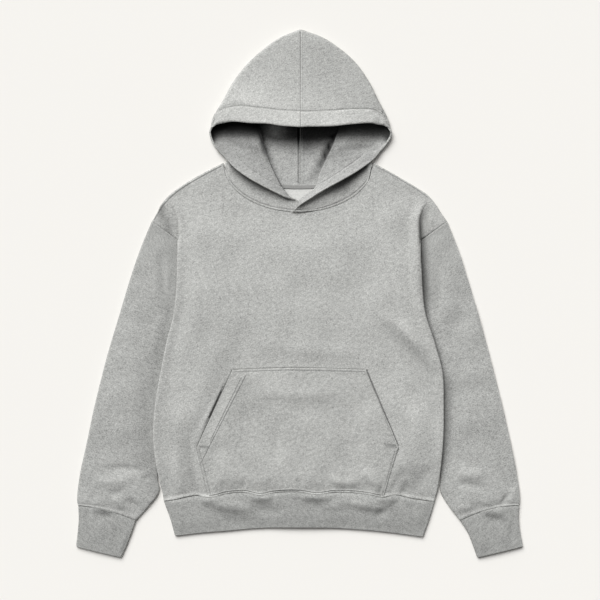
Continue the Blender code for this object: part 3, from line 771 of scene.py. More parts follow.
def fan(rows, name, flat):     # from the sleeve crease out to the armhole seam
    inward = 1.0 if name == "left" else -1.0
    side = name.capitalize()
    crease = rows[:, 0] if name == "left" else rows[:, -1]
    corner = np.array([sleeves["inner" + side][0], sleeves["innerY"][0]])
    tip = np.array([shoulders[name][0], shoulders["y"][0]])
    along = unit(corner - tip)
    across = np.array([-along[1], along[0]]) * inward
    last = tip + across * inset + np.array([inward * wall / 2, -wall / 2])
    start = crease[0, :2] - along * 2.5  # a little way out from the armpit
    amounts = (crease[:, 1] - crease[0, 1]) / (crease[-1, 1] - crease[0, 1])
    steps = spaced(1.0, 0.03, 0.09, 0.03)
    line = mix(crease[-1, 1], last[1], steps)
    bulge = smooth(shoulders["y"], shoulders[name], line + wall / 2) + inward * wall / 2
    bulge = bulge - mix(crease[-1, 0], last[0], steps)
    bulge[[0, -1]] = 0.0
    made = []
    for amount, point in zip(amounts, crease):
        seam = mix(start, last, amount)
        x = mix(point[0], seam[0], steps) + bulge * amount ** 2
        y = mix(point[1], seam[1], steps)
        rolled = amount > 0.97  # the last row follows the shoulder's fold
        z = mix(point[2], point[2] if rolled else flat, ease(steps * 2.2))
        if flat == high and not rolled:
            toSeam = (1 - steps) * np.linalg.norm(seam - point[:2])
            z = z + body["capRidge"] * bump(toSeam - 2.5, 2.0)
            z = z + body["capPuff"] * np.sin(math.pi * steps ** 0.8) * math.sin(math.pi * amount) ** 0.7
            z = z + foldRelief(x, y, body["capFolds"]) * np.sin(math.pi * steps)
        made.append(np.stack([x, y, z], axis=1))
    made = np.array(made)
    return made[:, ::-1] if name == "left" else made


def capShade(grid, name):      # the crease's shadow on the shoulder cap
    crease = grid[:, -1:] if name == "left" else grid[:, :1]
    y = grid[..., 1]
    away = np.linalg.norm(grid[..., :2] - crease[..., :2], axis=2)
    place, width, depth = body["capShades"][name]
    shade = depth * bump(away - place, width)
    if name == "left":
        return shade * ease((y - 88) / 12) * ease((180 - y) / 20)
    return shade * np.interp(y, (88, 100, 125, 155, 175), (0, 1, 1, 0.6, 0))


def planUv(grid, turned=False):
    uv = grid[..., :2] + grid[..., 2:] * (0.6, -0.6)
    if turned:
        uv[..., 0] = 1200 - uv[..., 0]
    return uv


def finish(item, nodeName):
    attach(item, "root")
    if nodeName:
        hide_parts(nodeName)


frontGrids = bodyGrids(True)
x, y = frontGrids[0][..., 0], frontGrids[0][..., 1]
# Painted shade of the front: in its folds, a painted highlight by the waistband seam, and the crease's
# shadow on the caps.
frontShade = [foldRelief(x, y, body["shadows"]) - body["seamShade"] * bump(y - hemAt(x) - 0.8, 1.1),
              capShade(frontGrids[1], "left"), capShade(frontGrids[2], "right")]
front, frontArea = cloth("frontPanel", frontGrids, [planUv(g) for g in frontGrids],
                         [frontFleece, brushed],
                         [np.full(g.shape[:2], wall / 2) for g in frontGrids],
                         paintedShade=(frontShade, [part * 0 for part in frontShade]))
finish(front, "front_body")
backGrids = [g[:, ::-1] for g in bodyGrids(False)]
back, backArea = cloth("backPanel", backGrids, [planUv(g, True) for g in backGrids],
                       [fleece, brushed], [np.full(g.shape[:2], wall / 2) for g in backGrids])
finish(back, "back_body")

# Pocket. Its slanted openings have a wide turned hem.
pocket = {
    "step": 3.0,
    "top": -146.0,            # the levels of its corners
    "knee": -292.0,
    "bottom": -386.0,
    "halfTop": 127.0,         # half of the top edge
    "lean": (0.459, 0.909),   # of the left opening: sideways to each millimetre down, and its cosine
    "gap": 0.3,
    "slack": 1.6,             # it stands this far off the front in its middle
    "lip": 1.2,               # and this far along its openings
    "roll": 2.0,              # the inner side of the left hem is higher
    "hem": 28.0,
    "turned": 0.45,           # added to half of the thickness at the hem
    "sewn": 0.45,             # taken off it along the sewn sides
    "stitched": 0.35,         # the depth of the line of stitches along the hem
    "overSeam": 4.6,          # its lower edge is this far above the waistband seam
    "bow": 3.6,               # of the top edge
    "strength": 1.8,          # of the folds
    "swells": (55, 0.35, 8),
    "folds": (
        (-105, -186, 85, -192, 3, 13, 1.3),
        (-39, -232, -41, -325, 3, 9, -1.0),
        (-165, -345, -95, -352, 4, 16, 0.5),
        (-60, -364, 20, -366, 4, 12, 0.9),
        (55, -354, 118, -360, 2, 8, 1.6),
        (80, -290, 130, -282, 2, 13, -1.0),
        (122, -334, 156, -380, -3, 9, 2.5),
        (-150, -300, -120, -360, 3, 11, 0.9),
        (40, -330, 60, -375, 1, 7, -0.9)),
}


def pocketPiece():
    top, knee, bottom = pocket["top"], pocket["knee"], pocket["bottom"]
    halfTop = pocket["halfTop"]
    heights = np.concatenate([bottom + spaced(knee - bottom, 0.7, pocket["step"], 1.5),
                              knee + spaced(top - knee, 1.5, pocket["step"], 0.7)[1:]])
    y, t = np.meshgrid(heights, spaced(1.0, 0.0025, 0.0095, 0.0025), indexing="ij")
    left = np.interp(y, pocketSides["y"], pocketSides["left"]) + rimReach
    right = np.interp(y, pocketSides["y"], pocketSides["right"]) - rimReach
    x = mix(left, right, t)
    upper, lower = (y - knee) / (top - knee), (knee - y) / (knee - bottom)
    seam = hemAt(x) + pocket["overSeam"]
    y = y + pocket["bow"] * ease(upper) * (1 - (x / halfTop) ** 2) + (seam - bottom) * ease(lower)
    side = np.minimum(x - left, right - x)
    open_ = np.sin(math.pi * np.clip((y - knee) / (top - knee), 0, 1)) ** 0.7
    slope, cosine = pocket["lean"]
    slant = (x + halfTop + slope * (top - y)) * cosine  # distance in from the left opening
    hemmed = 1 - ease((slant - pocket["hem"]) / 2.5)
    topDown = top - y + pocket["bow"]
    inside = ease(side / 40) * ease(topDown / 35) * ease((y - seam) / 30)
    sewn = bump(side, 3.5) * ease((knee - y) / 14)
    half = wall / 2 + pocket["turned"] * hemmed - pocket["sewn"] * sewn
    z = frontHeight(x, y, False) + wall / 2 + pocket["gap"] + half
    z += pocket["slack"] * inside + pocket["lip"] * open_ * (1 - ease(side / 30))
    folds = foldRelief(x, y, pocket["folds"], pocket["strength"])
    z += np.maximum(folds, -1.4 * inside - 0.2) * ease(side / 14)  # never into the front
    z -= pocket["stitched"] * bump(slant - pocket["hem"] + 1.5, 1.3) * hemmed
    rolled = ease(slant / 26) * (1 - ease((slant - 29) / 34)) * ease((y - knee + 4) / 30)
    z += pocket["roll"] * rolled * ease(topDown / 24)
    z += swells(x, y, *pocket["swells"]) * inside
    grid = np.stack([x, y, z], axis=2)
    return cloth("kangarooPocket", [grid], [planUv(grid) + cutFrom["pocket"]],
                 [pocketFleece, fleece], [half])


pocketItem, pocketArea = pocketPiece()
finish(pocketItem, "pocket")
print("body and pocket made")


# Tubes: sleeves, cuffs and waistband, each flattened with rounded edges.

def tubeRows(sections, side, first, step, last):
    # Outer and inner edge at each row, and its distance from the first one.
    keys = np.arange(len(sections["outerY"]), dtype=float)
    fine = np.linspace(0, keys[-1], 400)

    def read(name, at):
        return smooth(keys, sections[name], at)

    def edges(at):
        outer = np.stack([read("outer" + side, at), read("outerY", at)], axis=1)
        inner = np.stack([read("inner" + side, at), read("innerY", at)], axis=1)
        return outer, inner

    outer, inner = edges(fine)
    middle = (outer + inner) / 2
    along = np.concatenate([[0], np.cumsum(np.linalg.norm(np.diff(middle, axis=0), axis=1))])
    places = spaced(along[-1], first, step, last)
    return (*edges(np.interp(places, along, fine)), places)


def loopPlaces(topCount, bottomCount, arcCount=7):
    # Shares across the width, and how far round each edge, from the outer edge
    # over the top and back underneath.
    arc = np.linspace(-90, 90, arcCount)
    topRun = np.linspace(0, 1, topCount)[1:-1]
    bottomRun = np.linspace(1, 0, bottomCount)[1:-1]
    share = np.concatenate([np.zeros(arcCount), topRun, np.ones(arcCount), bottomRun])
    degrees = np.concatenate([arc, np.full(len(topRun), 90.0), arc[::-1],
                              np.full(len(bottomRun), -90.0)])
    return share, np.radians(degrees)


def tubeGrid(outer, inner, share, degrees):
    # The edges' outer faces are on the outline.
    width = np.linalg.norm(inner - outer, axis=1)[:, None]
    direction = (inner - outer) / width
    straight = width - wall - 2 * fold
    bulge = np.where(share < 0.5, -1, 1) * np.cos(degrees) * fold
    s = wall / 2 + fold + share * straight + bulge * ((share == 0) | (share == 1))
    plan = outer[:, None] + direction[:, None] * s[..., None]
    z = np.broadcast_to(seamZ + fold * np.sin(degrees), s.shape)
    return np.concatenate([plan, z[..., None]], axis=2), s / width


def ringUv(grid, places):
    closed = np.concatenate([grid, grid[:, :1]], axis=1)
    uv = np.zeros((*closed.shape[:2], 2))
    uv[..., 0] = runLength(closed, 1).mean(axis=0)
    uv[..., 1] = places[:, None]
    return uv


def standBack(grid, outer, inner, rows):  # leaves the seam's gap at the first or last row
    ahead = unit(np.stack([(inner - outer)[:, 1], -(inner - outer)[:, 0]], axis=1))
    if ahead[0, 1] > 0:
        ahead = -ahead
    for row in rows:
        grid[row, :, :2] += ahead[row] * (inset if row == 0 else -inset)


def arch(across, power):       # how far a flat tube swells, from edge to edge
    return np.sin(math.pi * np.clip(across, 0, 1)) ** power


def seamBow(side, across):     # the cuff's seam is bowed
    return sleeve["bow"][side] * 4 * across * (1 - across)


def ribbed(piece, share, ribs, fromEnd):  # half of the thickness, thin at the folded end
    turn = 2 * math.pi * ribs * share
    half = wall / 2 - piece["ribDepth"] * (1 - np.cos(turn)) / 2
    return half * mix(0.72, 1.0, ease(fromEnd / 1.5)) + 0.1 * bump(fromEnd - 3, 2)


def paintedRimLight(share, degrees, amount, farEdge):  # painted highlight along a rounded edge
    return -amount * (share == farEdge) * (1 - np.clip(np.sin(degrees), 0, 1)) ** 0.5


def tube(name, grid, places, cut, materials, half, paintedShade, flip):
    uv = ringUv(grid, places) + cut
    if flip:
        grid, uv, half, paintedShade = (values[:, ::-1] for values in (grid, uv, half, paintedShade))
    return cloth(name, [grid], [uv], materials, [half], ring=True, paintedShade=([paintedShade], [paintedShade * 0]))


sleeve = {
    "step": 3.6,
    "puff": 3.0,
    "swells": (60, 0.5, 5),
    "seamRidge": 0.8,
    "seamDip": 0.4,
    "armholeRidge": 0.5,
    "rimLight": 0.85,         # painted highlight at its right edge
    "strength": 1.7,          # of the folds
    "bow": {"Left": 4.5, "Right": 7.0},  # of the cuff seam
    "Left": (
        (-372, -334, -286, -338, -3, 7, -1.8),
        (-395, -356, -310, -352, 3, 9, 1.5),
        (-300, -352, -272, -346, 1, 6, -1.2),
        (-362, -380, -330, -374, 2, 6, -1.4),
        (-330, -392, -306, -414, -2, 6, -2.1),
        (-352, -384, -336, -414, 1, 6, 1.7),
        (-396, -380, -388, -402, 1, 6, -1.0),
        (-298, 60, -262, -40, -8, 16, 1.6),
        (-262, 80, -252, -20, 2, 8, -1.8),
        (-318, 20, -300, -110, 6, 20, 1.3),
        (-372, -160, -300, -190, 6, 20, 0.9),
        (-390, -240, -300, -262, 6, 18, 1.0),
        (-296, -150, -282, -290, -4, 10, -1.2)),
    "Right": (
        (300, -340, 352, -344, 3, 8, 1.6),
        (296, -362, 360, -374, -3, 7, -1.6),
        (396, -380, 387, -408, 1, 5, -2.3),
        (412, -366, 404, -400, 1, 6, 1.2),
        (296, -406, 330, -412, 2, 7, 1.4),
        (350, -392, 366, -414, 1, 7, 1.1),
        (262, 70, 262, -60, -3, 10, -1.6),
        (300, 60, 280, -60, 6, 18, 1.5),
        (330, -10, 318, -130, -6, 20, 1.2),
        (300, -170, 376, -150, -6, 20, 0.9),
        (300, -250, 392, -236, -6, 18, 1.0),
        (288, -150, 290, -300, 4, 10, -1.1)),
}
cuff = {
    "step": 3.2,
    "ribPitch": 3.1,
    "ribDepth": 0.24,
    "puff": 1.2,
    "strength": 1.7,
    "seamDip": 0.7,
    "rimLight": 0.75,
    "endLight": 0.3,
    "shadowsLeft": (
        (-392, -411, -356, -421, 1, 9, 0.17),
        (-418, -444, -398, -452, 0, 9, 0.06),
        (-344, -452, -350, -490, 0, 8, 0.06)),
    "shadowsRight": (
        (344, -420, 400, -428, 2, 10, 0.18),
        (402, -436, 408, -470, 0, 8, 0.10),
        (344, -474, 352, -500, 0, 8, 0.10)),
    "Left": (
        (-398, -404, -346, -412, 1, 9, 2.0),
        (-392, -417, -358, -424, 2, 6, -1.2),
        (-372, -470, -388, -430, 3, 9, 0.8),
        (-345, -440, -352, -492, 2, 8, -0.8),
        (-326, -448, -340, -492, -1, 5, 0.9)),
    "Right": (
        (344, -414, 396, -414, 1, 9, 2.2),
        (352, -420, 384, -432, 3, 8, -1.4),
        (404, -430, 408, -474, 2, 6, -1.0),
        (340, -440, 352, -490, -3, 9, 0.9),
        (384, -440, 394, -484, 2, 8, 0.7)),
}


tuckShade = table(             # painted shade on the sleeve beside the body: how dark, and how far across
    "y    depthLeft reachLeft depthRight reachRight",
    (110, 0.16,  30,  0.85, 10),
    (80,  0.12,  26,  0.67, 13),
    (30,  0.12,  24,  0.75, 15),
    (0,   0.10,  24,  0.76, 15),
    (-20, 0.10,  24,  0.66, 12),
    (-45, 0.08,  24,  0.50, 7),
    (-95, 0.12,  27,  0.45, 6),
    (-145, 0.16, 34,  0.40, 8),
    (-175, 0.18, 36,  0.55, 20),
    (-200, 0.20, 38,  0.62, 15),
    (-300, 0.22, 38,  0.60, 14),
    (-355, 0.30, 30,  0.40, 9),
    (-395, 0.10, 20,  0.20, 9))


def sleevePiece(side):
    outer, inner, places = tubeRows(sleeves, side, 0.9, sleeve["step"], 0.9)
    share, degrees = loopPlaces(48, 26)
    grid, across = tubeGrid(outer, inner, share, degrees)
    x, y = grid[..., 0], grid[..., 1]
    sign = -1 if side == "Left" else 1
    edge = sideAt(side.lower(), np.minimum(y, 95.0))
    shown = ease(((x - edge) * sign - 3) / 24)  # the part under the body stays flat
    upper = (1 + np.sin(degrees)) / 2
    down = places[:, None]
    toSeam = places[-1] - down
    ends = np.minimum(down, toSeam)
    width = np.linalg.norm(inner - outer, axis=1)[:, None]
    relief = sleeve["puff"] * arch(across, 0.8) * ease(width / 120) * ease(ends / 30)
    relief += foldRelief(x, y, sleeve[side], sleeve["strength"]) * ease(ends / 10)
    relief += swells(x, y, *sleeve["swells"]) * ease(ends / 20)
    relief = np.maximum(relief, -0.9) * shown
    grid[..., 1] += seamBow(side, across) * (1 - ease(toSeam / 40))
    # Painted shadow of the body's edge on the sleeve's top, and a painted highlight along its rim.
    away = (x - sideAt(side.lower(), y)) * sign
    levels = -tuckShade["y"]
    depth = np.interp(-y, levels, tuckShade["depth" + side])
    paintedShade = depth * bump(np.maximum(away, 0), np.interp(-y, levels, tuckShade["reach" + side]))
    paintedShade = paintedShade * (degrees > 0)
    paintedShade += paintedRimLight(share, degrees, sleeve["rimLight"], float(side == "Left"))
    relief += sleeve["armholeRidge"] * bump(down - 2.5, 2.0) * shown
    relief += seamRoll(toSeam, sleeve["seamRidge"], sleeve["seamDip"])
    grid[..., 2] += relief * upper
    standBack(grid, outer, inner, (0, -1))
    return tube("sleeve" + side, grid, places, cutFrom["sleeve"], [sleeveFleece, brushed],
                np.full(grid.shape[:2], wall / 2), paintedShade, side == "Left")


def cuffPiece(side):
    outer, inner, places = tubeRows(cuffs, side, 0.9, cuff["step"], 0.9)
    ribs = round(np.linalg.norm(inner[0] - outer[0]) / cuff["ribPitch"])
    share, degrees = loopPlaces(ribs * 6 + 1, ribs * 6 + 1)
    grid, across = tubeGrid(outer, inner, share, degrees)
    x, y = grid[..., 0], grid[..., 1]
    upper = (1 + np.sin(degrees)) / 2
    fromSeam = places[:, None]
    fromEnd = np.broadcast_to(places[-1] - fromSeam, across.shape)
    grid[..., 1] += seamBow(side, across) * (1 - ease(fromSeam / 30))
    relief = cuff["puff"] * arch(across, 0.6) * ease(fromSeam / 20)
    relief = relief + foldRelief(x, y, cuff[side], cuff["strength"])
    relief = np.maximum(relief, -0.9) - cuff["seamDip"] * (1 - ease(fromSeam / 4))
    grid[..., 2] += relief * upper * ease(arch(across, 1) * 3)
    standBack(grid, outer, inner, (0,))
    # Painted shade under the folds, painted highlights along the rim and at the open end.
    shade = foldRelief(x, y, cuff["shadows" + side]) * (degrees > 0)
    shade = shade + paintedRimLight(share, degrees, cuff["rimLight"], float(side == "Left"))
    shade = shade - cuff["endLight"] * bump(fromEnd, 1.4)
    return tube("cuff" + side, grid, places, cutFrom["cuff"], [rib, rib],
                ribbed(cuff, share, ribs, fromEnd), shade, side == "Left")


sleeveItems, sleeveAreas, cuffItems, cuffAreas = {}, {}, {}, {}
for side in ("Left", "Right"):
    sleeveItems[side], sleeveAreas[side] = sleevePiece(side)
    finish(sleeveItems[side], "sleeve_" + side.lower())
    cuffItems[side], cuffAreas[side] = cuffPiece(side)
    finish(cuffItems[side], "cuff_" + side.lower())

band = {
    "step": 3.6,
    "depth": 66.0,
    "ribPitch": 3.1,
    "ribDepth": 0.24,
    "puff": 2.4,
    "strength": 1.5,          # of the folds
    "seamStrength": 1.3,      # of the puckers that cross the seam
    "seamDip": 0.7,
    "rimLight": 0.65,         # painted highlight at its right edge
    "endLight": 0.3,          # and at its lower edge
    # painted shade; below zero, painted highlight
    "shadows": (
        (-190, -390, -150, -400, 1, 9, 0.12),
        (-160, -402, -96, -416, 2, 11, 0.13),
        (-98, -398, -40, -404, -2, 9, 0.20),
        (-2, -392, 62, -400, -1, 9, 0.22),
        (196, -392, 118, -424, 2, 10, 0.10),
        (142, -396, 178, -397, 0, 6.5, 0.18),
        (164, -404, 192, -420, 0, 10, 0.22),
        (94, -394, 128, -399, 0, 6, -0.13),
        (-214, -404, -182, -440, 0, 14, -0.09),
        (-60, -430, 100, -426, 4, 15, 0.10),
        (-240, -396, -222, -420, 1, 16, -0.06),
        (-136, -393, -102, -397, 1, 6, -0.08),
        (-38, -390, -8, -392, 0, 6, -0.06),
        (66, -392, 118, -411, 2, 7, -0.08)),
    "folds": (
        (-190, -391, -84, -412, 3, 9.5, 3.2),
        (-164, -424, -92, -436, 2, 10, -1.2),
        (-84, -406, -30, -416, 3, 9, -1.6),
        (40, -402, 84, -402, 2, 8, 1.6),
        (70, -390, 178, -410, 3, 8, 3.4),
        (140, -430, 200, -392, -3, 8, -2.0),
        (-60, -440, 80, -434, 4, 15, 1.4),
        (190, -398, 238, -432, 3, 12, 1.2)),
}


def waistbandPiece():
    down = spaced(band["depth"], 0.9, band["step"], 0.9) / band["depth"]
    left = smooth(waist["down"], waist["left"], down)
    right = smooth(waist["down"], waist["right"], down)
    zero = np.zeros(len(down))
    ribs = round((right[0] - left[0]) / band["ribPitch"])
    share, degrees = loopPlaces(ribs * 5 + 1, ribs * 4 + 1)
    grid, across = tubeGrid(np.stack([left, zero], axis=1), np.stack([right, zero], axis=1),
                            share, degrees)
    x = grid[..., 0]
    part = down[:, None]
    fromSeam = part * band["depth"]
    fromEnd = np.broadcast_to((1 - part) * band["depth"], across.shape)
    seam = hemAt(mix(left[0], right[0], across)) - inset
    edge = smooth(hemEdge["x"], hemEdge["y"], mix(hemEdge["x"][0], hemEdge["x"][-1], across))
    grid[..., 1] = mix(seam, edge + rimReach, part)
    y = grid[..., 1]
    upper = (1 + np.sin(degrees)) / 2
    relief = band["puff"] * ease(fromSeam / 6) * ease((1 - part) * 2.6)
    relief = relief + foldRelief(x, y, band["folds"], band["strength"])
    relief = np.maximum(relief, -0.9) - band["seamDip"] * (1 - ease(fromSeam / 4))
    relief += foldRelief(x, y, hemFolds, band["seamStrength"])
    grid[..., 2] += relief * upper * ease(np.minimum(across, 1 - across) * 25)
    # Painted shade under the folds, painted highlights along the rim and the lower edge.
    shade = foldRelief(x, y, band["shadows"]) * (degrees > 0)
    shade = shade + paintedRimLight(share, degrees, band["rimLight"], 1.0)
    shade = shade - band["endLight"] * bump(fromEnd, 1.4)
    return tube("hemBand", grid, down * band["depth"], cutFrom["band"], [rib, rib],
                ribbed(band, share, ribs, fromEnd), shade, True)


bandItem, bandArea = waistbandPiece()
finish(bandItem, "waistband")
print("sleeves, cuffs and waistband made")

# Hood. Each half is one sheet: from the centre seam at the back out to the side,
# folded twice there as a pleat, and on to the face edge. Above the corners it
# rolls over into the crown, whose face edge is the upper lip.
hoodNames = """back turnX turnY turned foldX foldY sideX sideY edgeX edgeY edgeZ over curl
               round"""
hoodRows = {
    1: table(
        hoodNames,
        (202, -143, 247, 180,  -19, 155,    0,   0,   -3, 154,  4.9,   0, 0.0,   0),
        (215, -134, 257, 180,  -16, 176,    0,   0,   -2, 173.5, 5.0, 1, 0.0,   0),
        (223, -126, 262, 180,  -26, 190,    0,   0,  -29, 183, 13.0, 120, 0.0,   0),
        (231, -121, 267, 180,  -32, 199,    0,   0,  -48, 192, 15.0, 180, 0.0,   0),
        (247, -113, 277, 180,  -44, 221,    0,   0,  -88, 213, 17.0, 180, 0.0,   0),
        (265, -107, 287, 180,  -55, 244,    0,   0, -121, 236, 15.0, 180, 0.0,   0),
        (282, -104, 298, 180,  -64, 268,    0,   0, -142, 258, 11.0, 180, 0.0,   0),
        (299, -102, 309, 180,  -71, 293, -158, 281, -161, 280,  8.5, 180, 2.5,  60),
        (318, -101, 322, 180,  -78, 316, -170, 306, -170, 306, 11.0, 180, 3.0,  90),
        (338, -100, 336, 180,  -85, 334, -167, 323, -158, 320, 15.0, 180, 5.0, 180),
        (354,  -98, 347,  90,  -98, 347, -164, 334, -144, 323, 17.5,  90, 5.5, 180),
        (372,    0,   0,   0,    0,   0, -158, 346, -126, 325, 20.0,   0, 6.0, 180),
        (391,    0,   0,   0,    0,   0, -146, 366,  -94, 321, 24.0,   0, 6.5, 180),
        (414,    0,   0,   0,    0,   0, -128, 399,  -62, 319, 27.0,   0, 6.5, 180),
        (439,    0,   0,   0,    0,   0, -100, 435,  -33, 314.6, 28.0,   0, 6.0, 180),
        (462,    0,   0,   0,    0,   0,  -71, 462,  -16, 313.4, 28.5,   0, 5.5, 180),
        (477,    0,   0,   0,    0,   0,  -37, 486,   -5, 312.6, 29.0,   0, 5.0, 180),
        (486,    0,   0,   0,    0,   0,    2, 502,    2, 312.5, 29.0,   0, 4.5, 180)),
    -1: table(
        hoodNames,
        (202,  140, 247, 180,    4, 155,    0,   0,  -14, 155,  8.2,   0, 0.0,   0),
        (215,  132, 257, 180,   -1, 173.5,  0,   0,    6, 170, 15.5, 130, 0.0,   0),
        (223,  125, 262, 180,   12, 185,    0,   0,   22, 180, 16.0, 160, 0.0,   0),
        (231,  119, 267, 180,   28, 197,    0,   0,   39, 191, 17.0, 180, 0.0,   0),
        (247,  112, 277, 180,   37, 221,    0,   0,   79, 213, 19.0, 180, 0.0,   0),
        (265,  106, 287, 180,   48, 247,    0,   0,  109, 231, 18.0, 180, 0.0,   0),
        (282,  103, 298, 180,   59, 270,    0,   0,  135, 250, 14.0, 180, 0.0,   0),
        (299,  101, 309, 180,   68, 291,  152, 272,  155, 272, 10.0, 180, 2.5,  60),
        (318,  100, 322, 180,   76, 315,  174, 304,  174, 304, 12.0, 180, 3.0,  90),
        (338,   99, 336, 180,   81, 334,  170, 323,  160, 319, 15.0, 180, 5.0, 180),
        (354,   97, 347,  90,   97, 347,  167, 334,  149, 320, 17.5,  90, 5.5, 180),
        (372,    0,   0,   0,    0,   0,  161, 346,  134, 322, 20.0,   0, 6.0, 180),
        (391,    0,   0,   0,    0,   0,  150, 366,  100, 319, 24.0,   0, 6.5, 180),
        (414,    0,   0,   0,    0,   0,  134, 399,   67, 314.6, 27.0,   0, 6.5, 180),
        (439,    0,   0,   0,    0,   0,  106, 439,   41, 313.4, 28.0,   0, 6.0, 180),
        (462,    0,   0,   0,    0,   0,   81, 462,   20, 313.2, 28.5,   0, 5.5, 180),
        (477,    0,   0,   0,    0,   0,   45, 486,   10, 312.7, 29.0,   0, 5.0, 180),
        (486,    0,   0,   0,    0,   0,    2, 502,    2, 312.5, 29.0,   0, 4.5, 180)),
}
hood = {
    "step": 3.4,              # between the rows
    "pleatRadius": 2.2,
    "dome": 2.0,              # the crown's top layer stands up by this
    # How much further the face edge stands up here, row by row.
    "lift": (1, 1.08, 1.16, 1.24, 1.24, 0.95, 0.72, 0.75, 0.82, 0.85, 0.9, 1.05, 1.2, 1.3, 1.32,
             1.32, 1.32, 1.32),
    "curl": 0.72,             # how much less its sides are rolled
    "crossing": (3.0, 3.6, 2.0),  # the right front lies over the left
    "hemWidth": 23.0,         # at the lower part of the face edge
    "turned": 0.6,            # added to half of the thickness at that hem
    "bandRise": 1.4,
    "groove": 1.7,            # where the hem is stitched down
    "doubledDip": 0.8,
    "doubled": ((34, 46), (156, 18), (-128, 22)),  # where a second crease runs beside it: x, width
    "seamPuff": (0.5, 0.8),   # ridge and dip beside the neck seam
    "stand": (0, 0, 1, 2, 4, 6, 7.5, 8, 7, 5, 2),  # of the inner fold, row by row
    "creases": (
        (14, 488, 58, 410, 3, 12, 1.2),
        (40, 470, 92, 392, 4, 14, -1.0),
        (-96, 420, -60, 372, 4, 16, 1.0),
        (-40, 470, -20, 380, -3, 16, 0.8)),
}
# Stitching of the hem across the crown.
tunnel = table(
    "x    y",
    (-170, 338), (-159, 342.5), (-128, 353), (-75, 350), (-35, 345), (5, 342.5), (58, 344),
    (111, 348), (147, 344.5), (164, 333), (176, 322))
backSteps = np.concatenate([np.linspace(0, 0.09, 12), np.linspace(0.14, 1, 10)[:-1]])
turnCount = 9
underSteps = np.linspace(0, 1, 20)[1:-1]
outSteps = np.linspace(0, 1, 13)[1:-1]
rollCount = 8
overCount = 34
# Columns: the back, its fold, the layer under the pleat, the second fold, then
# out to the side, round its roll and over to the face edge.
backCount = len(backSteps) + turnCount
baseCount = backCount + len(underSteps) + turnCount
flapCount = len(outSteps) + rollCount + overCount
overFirst = baseCount + len(outSteps) + rollCount // 2
foldColumn = baseCount - turnCount + 4.6  # the crest of the second fold
cornerRow = 8.4               # the crown is above this row
plainSteps = np.append(np.linspace(0, 0.56, 17)[:-1], np.linspace(0.56, 0.86, baseCount - 16))

lipLine = table(               # the upper lip
    "x    y",
    (-170, 306), (-157, 321), (-128, 325), (-87, 322), (-48, 316.8), (5, 312.6), (58, 315.8),
    (98, 320), (136, 321), (164, 316), (174, 304))
shade = table(                 # painted shade, by the distance under the lip
    "under back left right",
    (3,  1.00, 1.10, 1.00),
    (14, 1.00, 1.10, 1.03),
    (17, 0.98, 1.06, 0.98),
    (21, 0.91, 1.01, 0.91),
    (27, 0.64, 0.80, 0.58),
    (32, 0.47, 0.48, 0.26),
    (38, 0.26, 0.27, 0.07),
    (44, 0.11, 0.33, 0.16),
    (50, 0.05, 0.40, 0.27),
    (55, 0.00, 0.34, 0.28),
    (62, 0.00, 0.26, 0.18),
    (80, 0.00, 0.17, 0.10))
streaks = table(               # painted shadow lines beside the flaps' folds
    "y    depthLeft right wide depthRight",
    (205, 0.00,  12, 16, 0.00),
    (215, 0.15,  20, 14, 0.28),
    (228, 0.16,  32, 10, 0.45),
    (240, 0.27,  38,  8, 0.66),
    (253, 0.50,  45,  8, 1.00),
    (268, 0.84,  51,  9, 1.10),
    (287, 1.05,  59, 10, 1.10),
    (304, 1.10,  65,  9, 1.10),
    (320, 1.10,  70,  8, 1.10))


def lineNormals(x, y, outward):
    tangent = np.stack([np.gradient(x), np.gradient(y)], axis=1)
    normals = unit(np.stack([tangent[:, 1], -tangent[:, 0]], axis=1))
    flip = np.sign(normals[:, 0] * outward)
    flip[flip == 0] = 1.0
    return normals * flip[:, None]


def turnUp(at, normal, base, radius, degrees, count, first=0.0):
    # Bends up from height base. Its length is that of half a circle, and a
    # smaller angle opens it to a wider arc.
    angle = math.radians(max(degrees, 1))
    wide = math.pi * radius / angle
    angles = math.radians(first) + np.linspace(0.0, angle, count)
    ahead = wide * np.sin(angles)
    ahead -= ahead.max()
    z = base + wide * (math.cos(angles[0]) - np.cos(angles))
    return np.column_stack([at[0] + normal[0] * ahead, at[1] + normal[1] * ahead, z])


def run(start, end, steps):
    return start + (end - start) * steps[:, None]


def gathered(length, seam):     # shares of a length, closer together at a line across it
    reach = min(5.0, 0.6 * seam, 0.6 * (length - seam))
    return np.concatenate([np.linspace(0, seam - reach, 12)[1:],
                           np.linspace(seam - reach, seam + reach, 12)[1:],
                           np.linspace(seam + reach, length, 13)[1:]]) / length


def neckPoint(angle, depth):
    near = inset - 0.2         # a close seam
    return (neckX - (neckHalf - near) * np.cos(angle),
            neckY - (depth - near) * np.sin(angle))


def neckRow(side, line):       # the back neckline, the corner and the front one
    backEnd, underFrom, underTo, hemmed = 16, 22, 74, 17.0  # degrees round the neck, and a width
    back = np.arccos(backSteps * math.cos(math.radians(backEnd)))
    under = np.radians(np.linspace(underFrom, underTo, len(underSteps)))
    ends = np.array([line["edgeX"] - side * hemmed, line["edgeX"]])
    start, end = np.arccos(side * (neckX - ends) / neckHalf)
    rest = np.linspace(start, end, turnCount + flapCount)
    cornerX = neckX - side * (neckHalf - 3.0)
    corner = turnUp((cornerX, neckY - 3), (-side, 0.0), low, fold, 180, turnCount)
    corner[:, 1] += np.interp(np.linspace(0, 4, turnCount), range(5), (2.0, 1.0, 0.0, -2.0, -5.0))
    parts = []
    for angles, depth, z in ((back, backNeck, low), (np.append(under, rest), frontNeck, high)):
        x, y = neckPoint(angles if side > 0 else math.pi - angles, depth)
        parts.append(np.column_stack([x, y, np.full(len(x), z)]))
    parts[0][0, 0] = hoodX - side * seamReach
    parts[1][-len(rest):, 2] = line["edgeZ"]
    return np.vstack([parts[0], corner, parts[1]])


